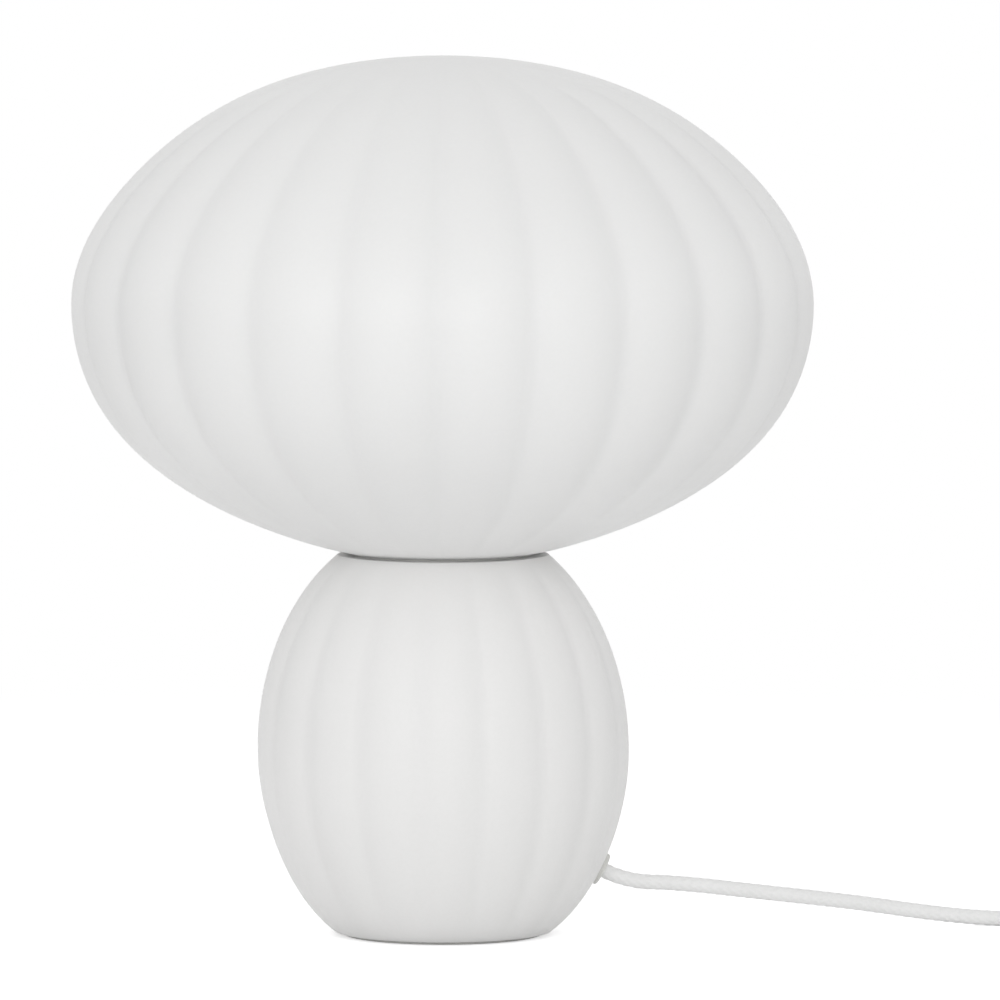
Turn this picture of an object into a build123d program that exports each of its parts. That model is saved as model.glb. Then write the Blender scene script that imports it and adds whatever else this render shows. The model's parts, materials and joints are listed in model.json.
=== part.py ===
# Mushroom table lamp: a ribbed opal glass base, a ribbed opal glass shade that lifts off it,
# an E14 lampholder with its bulb, and a cord with an in-line rocker switch and a two-pin plug.
# Millimetres, +Z up. The origin is the middle of the foot, on the surface the lamp stands on.
# The front of the lamp looks along -Y, and the cord leaves to the right, towards +X.
from build123d import *

import os
from dataclasses import dataclass
from math import asin, copysign, cos, degrees, pi, radians, sin, sqrt, tan

os.makedirs("parts", exist_ok=True)

# ---------------------------------------------------------------- driving dimensions

# Shade: a wide oval of glass with a small mouth underneath.
shade_radius = 115.0  # at the crest of the ribs, where the shade is widest
crown_rise = 76.0  # from the widest point up to the top
bowl_drop = 80.5  # from the widest point down to where the bowl would close
shade_ribs = 24
shade_rib_depth = 1.5
shade_rib_turn = -91.1  # direction of the first valley, in degrees from +X
shade_wall = 2.5  # glass left behind the valleys
mouth_radius = 25.5
rim_width = 3.1  # flat ring round the mouth, which the shade stands on
lift_clearance = 2.0  # between the mouth and the neck it lifts over

# Base: an egg of glass with a short neck.
base_radius = 57.8  # at the crest of the ribs, where the base is widest
base_height = 118.0  # floor to the flat ring that carries the shade
belly_height = 57.1  # floor to the widest point
shoulder_closing = 1.1954  # height at which the shoulder would close, over the height it has
foot_closing = 1.17647  # depth at which the foot would close, over the depth it has
base_ribs = 18
base_rib_depth = 0.75
base_rib_turn = -97.5
base_wall = 3.0
neck_height = 12.0
neck_wall = 3.0
shade_ring_thickness = 0.5

# Gallery and draw tube, which clamp the base between them and the bottom plate.
gallery_depth = 18.0
gallery_sheet = 1.0
gallery_lip = 0.3  # how far the gallery's flange stays inside the neck's outline
gallery_ring_thickness = 0.8
tube_radius = 5.0  # M10 x 1
tube_bore = 4.0
nut_across_flats = 14.0
nut_thickness = 3.0
washer_radius = 8.5
washer_thickness = 1.0

# Bottom plate and felt.
felt_thickness = 1.0
felt_inset = 2.6  # how far the felt stays inside the foot
plate_inset = 3.763  # how far the plate stays inside the foot
plate_sheet = 1.2
plate_ledge_thickness = 2.0  # glass ledge that the plate's soft ring presses on
plate_dish_radius = 11.5
plate_dish_height = 6.5
plate_ring_thickness = 0.8
plate_ring_width = 2.6

# Lampholder, E14.
holder_radius = 14.0
holder_cap_height = 18.0
holder_sleeve_height = 36.0
holder_wall = 1.6
holder_core_height = 33.0
core_floor_height = 14.0  # from the core's underside to the floor of its socket
contact_sheet = 0.5
screw_shell_bore = 7.05
screw_shell_wall = 0.5
screw_shell_height = 18.0

# Bulb, a small globe with an E14 cap.
globe_radius = 22.5
collar_height = 23.0
cap_radius = 6.98
cap_height = 20.0
cap_insulator_height = 3.0
tip_radius = 2.4
tip_height = 1.2

# Cord and the bush it leaves through.
cord_diameter = 4.8
bush_height = 20.0  # floor to the middle of the bush
bush_turn = 3.0  # degrees behind the +X direction
bush_flange_radius = 5.2
bush_flange_thickness = 2.2
bush_barrel_radius = 3.7
bush_lip_thickness = 2.0
cord_stop_radius = 6.0
cord_stop_length = 10.0
wire_diameter = 2.0
wire_spacing = 2.4

# In-line switch.
switch_length = 62.0
switch_width = 26.0
switch_height = 16.0
switch_wall = 2.0
rocker_width = 11.5
rocker_reach = 9.6  # from the pin to the ends of the rocker
rocker_throw = 9.0  # degrees either way
rocker_pin_radius = 1.0

# Plug, flat, with two round pins.
plug_width = 35.3
plug_thickness = 13.7
plug_body_length = 25.0
plug_boot_length = 12.0
plug_boot_radius = 5.0
pin_radius = 2.0
pin_length = 19.0
pin_spacing = 18.6

# Where the pieces on the cord lie.
switch_x = 260.0
switch_y = -32.0  # where the cord enters the switch
coil_y = 72.0
plug_x = 320.0
plug_y = -3.0  # where the cord enters the plug

# Clearances.
glass_clearance = 0.6  # round metal that stands in a glass opening
thread_clearance = 0.05  # round a plain cylinder that stands for a thread
running_clearance = 0.06  # round a pin that turns
air_gap = 0.3  # between pieces of two bodies that don't touch

# ---------------------------------------------------------------- helpers


@dataclass
class Bowl:
    """Half of a blown outline, from its widest point to a pole: an ellipse made fuller or slimmer.

    Latitudes are in degrees, from 0 at the widest point to 90 at the pole.
    """

    radius: float
    rise: float  # height of the pole over the widest point, negative for a lower half
    square_term: float
    fourth_term: float

    def at(self, latitude):
        """Radius, and height over the widest point."""
        share = sin(radians(latitude))
        fullness = 1 + self.square_term * share**2 + self.fourth_term * share**4
        return self.radius * cos(radians(latitude)) * fullness, self.rise * share

    def inside(self, wall):
        """The outline of the hollow behind a wall."""
        rise = self.rise - copysign(wall, self.rise)
        return Bowl(self.radius - wall, rise, self.square_term, self.fourth_term)

    def latitude_at_height(self, height):
        """Latitude at a height over the widest point."""
        return degrees(asin(height / self.rise))

    def latitude_at_radius(self, radius):
        """Latitude where the outline has come in to a radius, found by halving."""
        low, high = 0.0, 90.0
        for _ in range(50):
            middle = (low + high) / 2
            if self.at(middle)[0] > radius:
                low = middle
            else:
                high = middle
        return low


def steps(first, last, count):
    """Evenly spaced values from first to last."""
    return [first + (last - first) * step / (count - 1) for step in range(count)]


def polar(radius, angle):
    """A point of a horizontal plane by radius and direction in degrees from +X."""
    return Vector(radius * cos(radians(angle)), radius * sin(radians(angle)))


def ribbed_ring(radius, depth, ribs, turn):
    """Adds a closed, smooth outline of lobes that meet in narrow valleys."""
    pitch = 360 / ribs
    points = []
    for rib in range(ribs):
        for share in (0, 0.2, 0.5, 0.8):
            sink = depth * (2 * share - 1) ** 2  # a round lobe, deepest where it meets the next
            points.append(polar(radius - sink, turn + (rib + share) * pitch))
    Spline(*points, periodic=True)


def glass_sections(lower, lower_end, upper, upper_end, rib_depth, rib_fade, count):
    """Radius, height and rib depth of level sections, from the lowest to the highest.

    The ribs run out smoothly towards the latitudes where the glass ends.
    """
    lower_half = (lower, steps(lower_end, 0, count)[:-1], lower_end)
    upper_half = (upper, steps(0, upper_end, count), upper_end)
    for bowl, latitudes, end in (lower_half, upper_half):
        for latitude in latitudes:
            radius, height = bowl.at(latitude)
            run_out = (sin(radians(latitude)) / sin(radians(end))) ** rib_fade
            yield radius, height, rib_depth * (1 - run_out)


def turn_outline(*outline):
    """Adds a solid turned round the lamp's axis from radius and height points."""
    with BuildSketch(Plane.XZ) as profile:
        with BuildLine():
            Polyline(*outline, close=True)
        make_face()
    revolve(profile.sketch, axis=Axis.Z)


def add_rod(plane, radius, length, mode=Mode.ADD):
    """Adds, or cuts away, a round rod that starts on a plane, along its normal."""
    with BuildSketch(plane) as section:
        Circle(radius)
    extrude(section.sketch, amount=length, mode=mode)


def add_disc(radius, bottom, thickness, mode=Mode.ADD):
    """Adds, or cuts away, a flat disc on the lamp's axis."""
    add_rod(Plane.XY.offset(bottom), radius, thickness, mode)


def add_ring(outer, inner, bottom, thickness):
    """Adds a flat ring on the lamp's axis."""
    with BuildSketch(Plane.XY.offset(bottom)) as section:
        Circle(outer)
        Circle(inner, mode=Mode.SUBTRACT)
    extrude(section.sketch, amount=thickness)


def add_hex_nut(bottom):
    """Adds a thin hexagon nut on the draw tube."""
    with BuildSketch(Plane.XY.offset(bottom)) as section:
        RegularPolygon(nut_across_flats / 2, 6, major_radius=False)
        Circle(tube_thread, mode=Mode.SUBTRACT)
    extrude(section.sketch, amount=nut_thickness)


def add_screw(head_seat, thread_length):
    """Adds a small slotted screw whose head stands on a plane and whose thread goes into it."""
    add_rod(head_seat, small_head_radius, small_head_height)
    add_rod(head_seat, small_screw_radius, -thread_length)
    with BuildSketch(head_seat.offset(small_head_height)) as slot:
        Rectangle(2 * small_head_radius, small_head_radius / 4)
    extrude(slot.sketch, amount=-small_head_height / 2, mode=Mode.SUBTRACT)


def bend_radii(route):
    """The largest arc at each corner that leaves a tenth of the shorter run straight."""
    radii = []
    for before, corner, after in zip(route, route[1:], route[2:]):
        arriving, leaving = corner - before, after - corner
        turn = radians(arriving.get_angle(leaving))
        radii.append(0.45 * min(arriving.length, leaving.length) / tan(turn / 2))
    return radii


def round_tube(name, route, diameter):
    """A round tube along straight runs joined by tangent arcs."""
    radii = bend_radii(route)
    with BuildPart() as piece:
        with BuildLine() as path:
            FilletPolyline(*route, radius=radii)
        run = path.wires()[0]
        with BuildSketch(Plane(origin=run @ 0, z_dir=run % 0)):
            Circle(diameter / 2)
        sweep(path=run)
    fill = piece.part.volume / (pi * diameter**2 / 4 * run.length)
    print(f"{name}: {run.length:.1f} mm, volume over section x length {fill:.4f}")
    print(f"{name}: least radius {min(radii):.1f} mm")
    return piece


# ---------------------------------------------------------------- shade

shade_crown = Bowl(shade_radius, crown_rise, -0.141, 0.171)
shade_bowl = Bowl(shade_radius, -bowl_drop, 0.064, -0.149)
shade_rib_fade = 8
crown_end = 88.0  # latitude of the last section of the crown, a flat a few millimetres wide
rim_latitude = shade_bowl.latitude_at_radius(mouth_radius + rim_width)
shade_rim_height = base_height + shade_ring_thickness
shade_belly_height = shade_rim_height - shade_bowl.at(rim_latitude)[1]
shade_thickness = shade_wall + shade_rib_depth

with BuildPart() as shade:
    for ring_radius, ring_height, ring_depth in glass_sections(
        shade_bowl, rim_latitude, shade_crown, crown_end, shade_rib_depth, shade_rib_fade, 8
    ):
        with BuildSketch(Plane.XY.offset(shade_belly_height + ring_height)):
            with BuildLine():
                ribbed_ring(ring_radius, ring_depth, shade_ribs, shade_rib_turn)
            make_face()
    loft()
    with BuildSketch(Plane.XZ.shift_origin((0, 0, shade_belly_height))):
        with BuildLine():
            lower_wall = [shade_bowl.inside(shade_thickness).at(latitude) for latitude in steps(90, 15, 6)]
            upper_wall = [shade_crown.inside(shade_thickness).at(latitude) for latitude in steps(0, 90, 7)]
            Spline(*lower_wall, *upper_wall, tangents=[(1, 0), (-1, 0)])
            Line(upper_wall[-1], lower_wall[0])
        make_face()
    revolve(axis=Axis.Z, mode=Mode.SUBTRACT)
    add_disc(mouth_radius, shade_rim_height, 3 * shade_thickness, mode=Mode.SUBTRACT)

# ---------------------------------------------------------------- base

shoulder_height = base_height - belly_height
foot_depth = belly_height - felt_thickness
base_shoulder = Bowl(base_radius, shoulder_closing * shoulder_height, 0.031, 0.015)
base_foot = Bowl(base_radius, -foot_closing * foot_depth, 0.0, 0.196)
base_rib_fade = 5
base_thickness = base_wall + base_rib_depth
neck_radius = mouth_radius - lift_clearance
neck_bore = neck_radius - neck_wall
neck_top = base_height + neck_height
foot_latitude = base_foot.latitude_at_height(-foot_depth)
shoulder_latitude = base_shoulder.latitude_at_height(shoulder_height)
foot_radius = base_foot.at(foot_latitude)[0]
plate_radius = foot_radius - plate_inset
ceiling_height = base_height - base_thickness
hollow_foot = base_foot.inside(base_thickness)
hollow_shoulder = base_shoulder.inside(base_thickness)
plate_recess_depth = plate_sheet + plate_ring_thickness
plate_ledge_bottom = felt_thickness + plate_recess_depth
plate_ledge_radius = plate_radius - plate_ring_width

# The bush sits square to the glass, on a spot that is ground flat for it.
bush_latitude = base_foot.latitude_at_height(bush_height - belly_height)
glass_reach, glass_drop = base_foot.at(bush_latitude)
lower_reach, lower_drop = base_foot.at(bush_latitude + 1)
bush_outward = polar(1, bush_turn)
bush_sideways = Vector(0, 0, 1).cross(bush_outward)
down_the_glass = bush_outward * (lower_reach - glass_reach) + Vector(0, 0, lower_drop - glass_drop)
bush_axis = bush_sideways.cross(down_the_glass).normalized() * -1
bush_spot_depth = base_rib_depth + 0.3
bush_middle = bush_outward * glass_reach + Vector(0, 0, bush_height) - bush_axis * bush_spot_depth
bush_spot = Plane(origin=bush_middle, x_dir=bush_sideways, z_dir=bush_axis)
bush_grip = base_thickness - bush_spot_depth + 0.7  # spot to the lip, behind the curved wall
bush_hole_clearance = 0.1

with BuildPart() as base_body:
    for ring_radius, ring_height, ring_depth in glass_sections(
        base_foot, foot_latitude, base_shoulder, shoulder_latitude, base_rib_depth, base_rib_fade, 7
    ):
        with BuildSketch(Plane.XY.offset(belly_height + ring_height)):
            with BuildLine():
                ribbed_ring(ring_radius, ring_depth, base_ribs, base_rib_turn)
            make_face()
    loft()
    add_disc(neck_radius, base_height, neck_height)
    with BuildSketch(Plane.XZ.shift_origin((0, 0, belly_height))):
        with BuildLine():
            hollow_end = hollow_foot.latitude_at_height(-foot_depth)
            hollow_top = hollow_shoulder.latitude_at_height(ceiling_height - belly_height)
            lower_wall = [hollow_foot.at(latitude) for latitude in steps(hollow_end, 0, 5)]
            upper_wall = [hollow_shoulder.at(latitude) for latitude in steps(0, hollow_top, 5)[1:]]
            Spline(*lower_wall, *upper_wall)
            Polyline(
                upper_wall[-1],
                (0, upper_wall[-1][1]),
                (0, lower_wall[0][1]),
                lower_wall[0],
            )
        make_face()
    revolve(axis=Axis.Z, mode=Mode.SUBTRACT)
    add_disc(neck_bore, neck_top, -neck_height - base_thickness, mode=Mode.SUBTRACT)
    add_ring(foot_radius, plate_ledge_radius, plate_ledge_bottom, plate_ledge_thickness)
    add_disc(plate_radius + air_gap, felt_thickness, plate_recess_depth, mode=Mode.SUBTRACT)
    add_rod(bush_spot, bush_flange_radius + air_gap, 2 * bush_spot_depth, mode=Mode.SUBTRACT)
    add_rod(bush_spot, bush_barrel_radius + bush_hole_clearance, -2 * base_thickness, mode=Mode.SUBTRACT)

# Soft ring between the flat top of the base and the rim of the shade.
with BuildPart() as shade_ring:
    add_ring(mouth_radius + rim_width - 0.6, neck_radius + air_gap, base_height, shade_ring_thickness)

# ---------------------------------------------------------------- foot: plate, ring and felt

plate_top = felt_thickness + plate_sheet
plate_dish_top = plate_top + plate_dish_height
tube_hole = tube_radius + 0.2

with BuildPart() as felt_pad:
    add_disc(foot_radius - felt_inset, 0, felt_thickness)
with BuildPart() as plate_ring:
    add_ring(plate_radius, plate_ledge_radius, plate_top, plate_ring_thickness)
with BuildPart() as bottom_plate:
    turn_outline(
        (plate_radius, felt_thickness),
        (plate_radius, plate_top),
        (plate_dish_radius + plate_sheet, plate_top),
        (plate_dish_radius, plate_dish_top),
        (tube_hole, plate_dish_top),
        (tube_hole, plate_dish_top - plate_sheet),
        (plate_dish_radius - plate_sheet, plate_dish_top - plate_sheet),
        (plate_dish_radius, felt_thickness),
    )

# ---------------------------------------------------------------- gallery

flange_radius = neck_radius - gallery_lip
flange_bottom = neck_top + gallery_ring_thickness
flange_top = flange_bottom + gallery_sheet
gallery_floor_top = flange_top - gallery_depth
gallery_radius = neck_bore - glass_clearance

with BuildPart() as gallery_ring:
    add_ring(flange_radius, neck_bore, neck_top, gallery_ring_thickness)
with BuildPart() as gallery:
    turn_outline(
        (flange_radius, flange_bottom),
        (flange_radius, flange_top),
        (gallery_radius - gallery_sheet, flange_top),
        (gallery_radius - gallery_sheet, gallery_floor_top),
        (tube_hole, gallery_floor_top),
        (tube_hole, gallery_floor_top - gallery_sheet),
        (gallery_radius, gallery_floor_top - gallery_sheet),
        (gallery_radius, flange_bottom),
    )

# ---------------------------------------------------------------- nuts and washers of the draw tube

tube_thread = tube_radius + thread_clearance
bottom_washer_bottom = plate_dish_top - plate_sheet - washer_thickness
bottom_nut_bottom = bottom_washer_bottom - nut_thickness
top_nut_bottom = gallery_floor_top + washer_thickness
holder_bottom = top_nut_bottom + nut_thickness + air_gap
tube_end_in_holder = 9.0
tube_bottom = bottom_nut_bottom - 0.5
tube_top = holder_bottom + tube_end_in_holder

with BuildPart() as bottom_washer:
    add_ring(washer_radius, tube_thread, bottom_washer_bottom, washer_thickness)
with BuildPart() as bottom_nut:
    add_hex_nut(bottom_nut_bottom)
with BuildPart() as top_washer:
    add_ring(washer_radius, tube_thread, gallery_floor_top, washer_thickness)
with BuildPart() as top_nut:
    add_hex_nut(top_nut_bottom)

# ---------------------------------------------------------------- cord entry: bush, cord stop, cord and wires

small_screw_radius = 1.5
small_head_radius = 2.6
small_head_height = 1.6
cord_radius = cord_diameter / 2
cord_bore = cord_radius + 0.05
bush_face = bush_spot.offset(bush_flange_thickness)
stop_distance = bush_flange_thickness + bush_grip + bush_lip_thickness + 1.0  # bush's face to the cord stop
stop_plane = bush_face.offset(-stop_distance)
stop_top = bush_face.offset(-stop_distance - cord_stop_length / 2).origin + bush_face.y_dir * cord_stop_radius
stop_screw_seat = Plane(origin=stop_top, x_dir=bush_sideways, z_dir=bush_face.y_dir)
stop_screw_length = cord_stop_radius - cord_bore
sheath_end_reach = 14.0  # from the lamp's axis to where the cord's sheath ends
sheath_bend = bush_face.offset(-stop_distance - 2 * cord_stop_length).origin
bend_reach = sheath_bend.dot(bush_outward)
sheath_end = bush_outward * sheath_end_reach + Vector(0, 0, sheath_bend.Z + bend_reach - sheath_end_reach)
wire_turn_up = Vector(0, 0, sheath_end.Z + sheath_end_reach)
slot_width = wire_spacing + wire_diameter + 1.0
slot_height = 4 * wire_diameter + 2 * tube_radius

with BuildPart() as cord_bush:
    add_rod(bush_spot, bush_flange_radius, bush_flange_thickness)
    outer_edge = cord_bush.faces().sort_by(Axis(bush_middle, bush_axis))[-1].edges()
    fillet(outer_edge, 0.7)
    add_rod(bush_spot, bush_barrel_radius, -bush_grip)
    add_rod(bush_spot.offset(-bush_grip), bush_barrel_radius + 0.8, -bush_lip_thickness)
    add_rod(bush_face, cord_bore, -stop_distance, mode=Mode.SUBTRACT)

with BuildPart() as cord_stop:
    add_rod(stop_plane, cord_stop_radius, -cord_stop_length)
    add_rod(stop_plane, cord_bore, -cord_stop_length, mode=Mode.SUBTRACT)
    add_rod(stop_screw_seat, small_screw_radius, -cord_stop_radius, mode=Mode.SUBTRACT)

with BuildPart() as cord_stop_screw:
    add_screw(stop_screw_seat, stop_screw_length)

inner_cord = round_tube("inner_cord", [bush_face.origin, sheath_bend, sheath_end], cord_diameter)

with BuildPart() as draw_tube:
    add_ring(tube_radius, tube_bore, tube_bottom, tube_top - tube_bottom)
    with BuildSketch(Plane(origin=wire_turn_up, x_dir=bush_sideways, z_dir=bush_outward)):
        with Locations((0, -tube_radius)):
            SlotOverall(slot_height, slot_width, rotation=90)
    extrude(amount=2 * tube_radius, mode=Mode.SUBTRACT)

# ---------------------------------------------------------------- lampholder

holder_bore = holder_radius - holder_wall
sleeve_bottom = holder_bottom + holder_cap_height
core_floor = sleeve_bottom + core_floor_height
core_top = sleeve_bottom + holder_core_height
core_radius = holder_bore - 0.1
screw_shell_radius = screw_shell_bore + screw_shell_wall
boss_radius = 9.0
boss_top = tube_top + holder_wall
grub_seat = Plane(
    origin=bush_sideways * boss_radius + Vector(0, 0, holder_bottom + 2.2),
    x_dir=(0, 0, 1),
    z_dir=bush_sideways,
)
terminal_screw_length = 5.0
terminal_seats = [
    Plane(
        origin=bush_sideways * (side * (core_radius - small_head_height - 0.4))
        + Vector(0, 0, sleeve_bottom + core_floor_height / 2),
        x_dir=(0, 0, 1),
        z_dir=bush_sideways * side,
    )
    for side in (1, -1)
]

with BuildPart() as holder_cap:
    turn_outline(
        (tube_thread, holder_bottom),
        (boss_radius, holder_bottom),
        (holder_radius, holder_bottom + holder_cap_height / 2),
        (holder_radius, sleeve_bottom),
        (holder_bore, sleeve_bottom),
        (holder_bore, holder_bottom + holder_cap_height / 2 + holder_wall),
        (boss_radius - holder_wall, boss_top),
        (tube_thread, boss_top),
    )
    grub_hole_length = boss_radius + holder_wall - tube_bore
    add_rod(grub_seat.offset(holder_wall), small_screw_radius, -grub_hole_length, mode=Mode.SUBTRACT)

with BuildPart() as holder_grub_screw:
    with BuildSketch(grub_seat):
        Circle(small_screw_radius)
        RegularPolygon(small_screw_radius / 2, 6, mode=Mode.SUBTRACT)
    extrude(amount=tube_thread - boss_radius)

with BuildPart() as holder_sleeve:
    add_ring(holder_radius, holder_bore, sleeve_bottom, holder_sleeve_height)

# The core carries two terminals underneath and the brass screw shell in its socket.
with BuildPart() as holder_core:
    add_disc(core_radius, sleeve_bottom, holder_core_height)
    add_disc(screw_shell_radius + thread_clearance, core_top, core_floor - core_top, mode=Mode.SUBTRACT)
    for seat in terminal_seats:
        add_rod(seat, small_head_radius + thread_clearance, core_radius, mode=Mode.SUBTRACT)
        add_rod(seat, small_screw_radius, -terminal_screw_length, mode=Mode.SUBTRACT)

with BuildPart() as terminal_screws:
    for seat in terminal_seats:
        add_screw(seat, terminal_screw_length)

with BuildPart() as screw_shell:
    add_ring(screw_shell_radius, screw_shell_bore, core_floor, screw_shell_height)

# A bent brass leaf on the socket's floor, under the tip of the bulb.
contact_length = 9.0
contact_width = 4.0
contact_rise = 1.6
with BuildPart() as centre_contact:
    with BuildSketch(Plane.XZ.offset(-contact_width / 2)):
        with BuildLine():
            half = contact_length / 2
            Polyline(
                (-half, core_floor),
                (half, core_floor),
                (half, core_floor + contact_sheet),
                (contact_sheet - half, core_floor + contact_sheet),
                (contact_sheet - half / 2, core_floor + contact_rise - contact_sheet),
                (half, core_floor + contact_rise - contact_sheet),
                (half, core_floor + contact_rise),
                (-half / 2, core_floor + contact_rise),
                (-half, core_floor + contact_sheet),
                close=True,
            )
        make_face()
    extrude(amount=contact_width)

# ---------------------------------------------------------------- wires, from the cord to the terminals

wire_spread = 5.5  # from the lamp's axis to each wire where it enters the core


def wire_route(side):
    """Route of one wire: into the draw tube by its slot, up the tube and out to its terminal."""
    near = bush_sideways * (side * wire_spacing / 2)
    far = bush_sideways * (side * wire_spread)
    return [
        sheath_end + near,
        wire_turn_up + near,
        near + Vector(0, 0, tube_top - 1.0),
        far + Vector(0, 0, sleeve_bottom - 4.0),
        far + Vector(0, 0, sleeve_bottom),
    ]


live_wire = round_tube("live_wire", wire_route(1), wire_diameter)
neutral_wire = round_tube("neutral_wire", wire_route(-1), wire_diameter)

# ---------------------------------------------------------------- bulb

tip_bottom = core_floor + contact_rise + air_gap
insulator_bottom = tip_bottom + tip_height
cap_bottom = insulator_bottom + cap_insulator_height
collar_bottom = cap_bottom + cap_height
collar_foot_radius = cap_radius + 1.5
globe_seam = collar_bottom + collar_height
globe_drop = 3.0  # how far the seam lies under the middle of the globe
globe_wall = 1.2
seam_radius = sqrt(globe_radius**2 - globe_drop**2)

with BuildPart() as bulb_tip:
    add_disc(tip_radius, tip_bottom, tip_height)
with BuildPart() as bulb_insulator:
    turn_outline(
        (0, insulator_bottom),
        (tip_radius, insulator_bottom),
        (cap_radius - 0.6, cap_bottom),
        (0, cap_bottom),
    )
with BuildPart() as bulb_cap:
    add_ring(cap_radius, cap_radius - 0.5, cap_bottom, cap_height)
with BuildPart() as bulb_collar:
    with BuildSketch(Plane.XZ):
        with BuildLine():
            foot = Vector(collar_foot_radius, collar_bottom)
            seam = Vector(seam_radius, globe_seam)
            collar_floor = collar_bottom + 3 * globe_wall
            Spline(foot, seam, tangents=[(0.35, 1), (globe_drop / globe_radius, 1)])
            Polyline(seam, (seam_radius - globe_wall, globe_seam), (collar_foot_radius, collar_floor))
            Polyline((collar_foot_radius, collar_floor), (0, collar_floor), (0, collar_bottom), foot)
        make_face()
    revolve(axis=Axis.Z)
with BuildPart() as bulb_globe:
    with BuildSketch(Plane.XZ.shift_origin((0, 0, globe_seam + globe_drop))):
        Circle(globe_radius)
        Circle(globe_radius - globe_wall, mode=Mode.SUBTRACT)
        with Locations((globe_radius, globe_radius - globe_drop)):
            Rectangle(2 * globe_radius, 2 * globe_radius, mode=Mode.INTERSECT)
    revolve(axis=Axis.Z)

# ---------------------------------------------------------------- switch on the cord

switch_start = Vector(switch_x, switch_y, switch_height / 2)
switch_end = switch_start + Vector(0, switch_length, 0)
switch_floor = Plane(origin=(switch_start.X, switch_start.Y + switch_length / 2, 0))
half_height = switch_height / 2
switch_corner = 8.0
switch_edge = 1.6
switch_boss_radius = small_head_radius + 1.2
screw_spacing = 0.62 * switch_length
rocker_pivot_height = switch_height - 5.0
rocker_window_length = 2 * (rocker_reach + air_gap)
rocker_window_width = rocker_width + 2 * air_gap
pivot_middle = switch_floor.offset(rocker_pivot_height).origin
pivot_axis = Plane(origin=pivot_middle, x_dir=(0, 1, 0), z_dir=(1, 0, 0))


def add_in_pair(bottom, radius, height, mode=Mode.ADD):
    """Adds, or cuts away, a round post at both screw places of the switch."""
    with BuildSketch(switch_floor.offset(bottom)) as posts:
        with GridLocations(0, screw_spacing, 1, 2):
            Circle(radius)
    extrude(posts.sketch, amount=height, mode=mode)


def add_switch_half(bottom, skin, hollow_bottom):
    """Adds one half of the housing: a rounded tray with cord mouths and two screw posts."""
    with BuildSketch(switch_floor.offset(bottom)) as outer:
        RectangleRounded(switch_width, switch_length, switch_corner)
    housing = extrude(outer.sketch, amount=half_height)
    fillet(housing.faces().sort_by(Axis.Z)[skin].edges(), switch_edge)
    inner_width = switch_width - 2 * switch_wall
    inner_length = switch_length - 2 * switch_wall
    with BuildSketch(switch_floor.offset(hollow_bottom)) as inner:
        RectangleRounded(inner_width, inner_length, switch_corner - switch_wall)
    extrude(inner.sketch, amount=half_height - switch_wall, mode=Mode.SUBTRACT)
    add_in_pair(hollow_bottom, switch_boss_radius, half_height - switch_wall)
    add_rod(Plane(origin=switch_start, z_dir=(0, 1, 0)), cord_bore, switch_wall, mode=Mode.SUBTRACT)
    add_rod(Plane(origin=switch_end, z_dir=(0, -1, 0)), cord_bore, switch_wall, mode=Mode.SUBTRACT)


switch_screw_length = switch_height - 2 * switch_wall - small_head_height
screw_hole = small_screw_radius + thread_clearance
with BuildPart() as switch_lower:
    add_switch_half(0, 0, switch_wall)
    add_in_pair(0, small_head_radius + 2 * thread_clearance, 2 * small_head_height, mode=Mode.SUBTRACT)
    add_in_pair(0, screw_hole, half_height, mode=Mode.SUBTRACT)

with BuildPart() as switch_upper:
    add_switch_half(half_height, -1, half_height)
    screw_end = 2 * small_head_height + switch_screw_length
    add_in_pair(half_height, screw_hole, screw_end - half_height, mode=Mode.SUBTRACT)
    with BuildSketch(switch_floor.offset(switch_height)):
        Rectangle(rocker_window_width, rocker_window_length)
    extrude(amount=-switch_wall, mode=Mode.SUBTRACT)

with BuildPart() as switch_screws:
    add_in_pair(small_head_height, small_head_radius, small_head_height)
    add_in_pair(2 * small_head_height, small_screw_radius, switch_screw_length)

# The rocker turns on a steel pin. Its ends are round about the pin, so they clear the window at every angle.
rocker_tip = 6.2
rocker_valley = 4.4
rocker_skirt = 2.6
rocker_side = Plane(
    origin=pivot_axis.offset(-rocker_width / 2).origin,
    x_dir=(0, cos(radians(rocker_throw)), sin(radians(rocker_throw))),
    z_dir=pivot_axis.z_dir,
)
with BuildPart() as switch_rocker:
    with BuildSketch(rocker_side):
        with BuildLine():
            tip_reach = sqrt(rocker_reach**2 - rocker_tip**2)
            skirt_reach = sqrt(rocker_reach**2 - rocker_skirt**2)
            ThreePointArc((tip_reach, rocker_tip), (rocker_reach, 0), (skirt_reach, -rocker_skirt))
            Line((skirt_reach, -rocker_skirt), (-skirt_reach, -rocker_skirt))
            ThreePointArc((-skirt_reach, -rocker_skirt), (-rocker_reach, 0), (-tip_reach, rocker_tip))
            ThreePointArc((-tip_reach, rocker_tip), (0, rocker_valley), (tip_reach, rocker_tip))
        make_face()
        Circle(rocker_pin_radius + running_clearance, mode=Mode.SUBTRACT)
    extrude(amount=rocker_width)

rocker_pin_length = switch_width - 2 * switch_wall
with BuildPart() as rocker_pin:
    add_rod(pivot_axis.offset(-rocker_pin_length / 2), rocker_pin_radius, rocker_pin_length)

# Two brass clamps join the cut wire under the rocker.
terminal_size = (5.0, 8.0, 4.5)
with BuildPart() as switch_terminals:
    with BuildSketch(switch_floor.offset(switch_wall)):
        with GridLocations(switch_width - 2 * switch_wall - terminal_size[0] - 2, 0, 2, 1):
            Rectangle(terminal_size[0], terminal_size[1])
    extrude(amount=terminal_size[2])

# ---------------------------------------------------------------- coil of the cord's spare length

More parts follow.
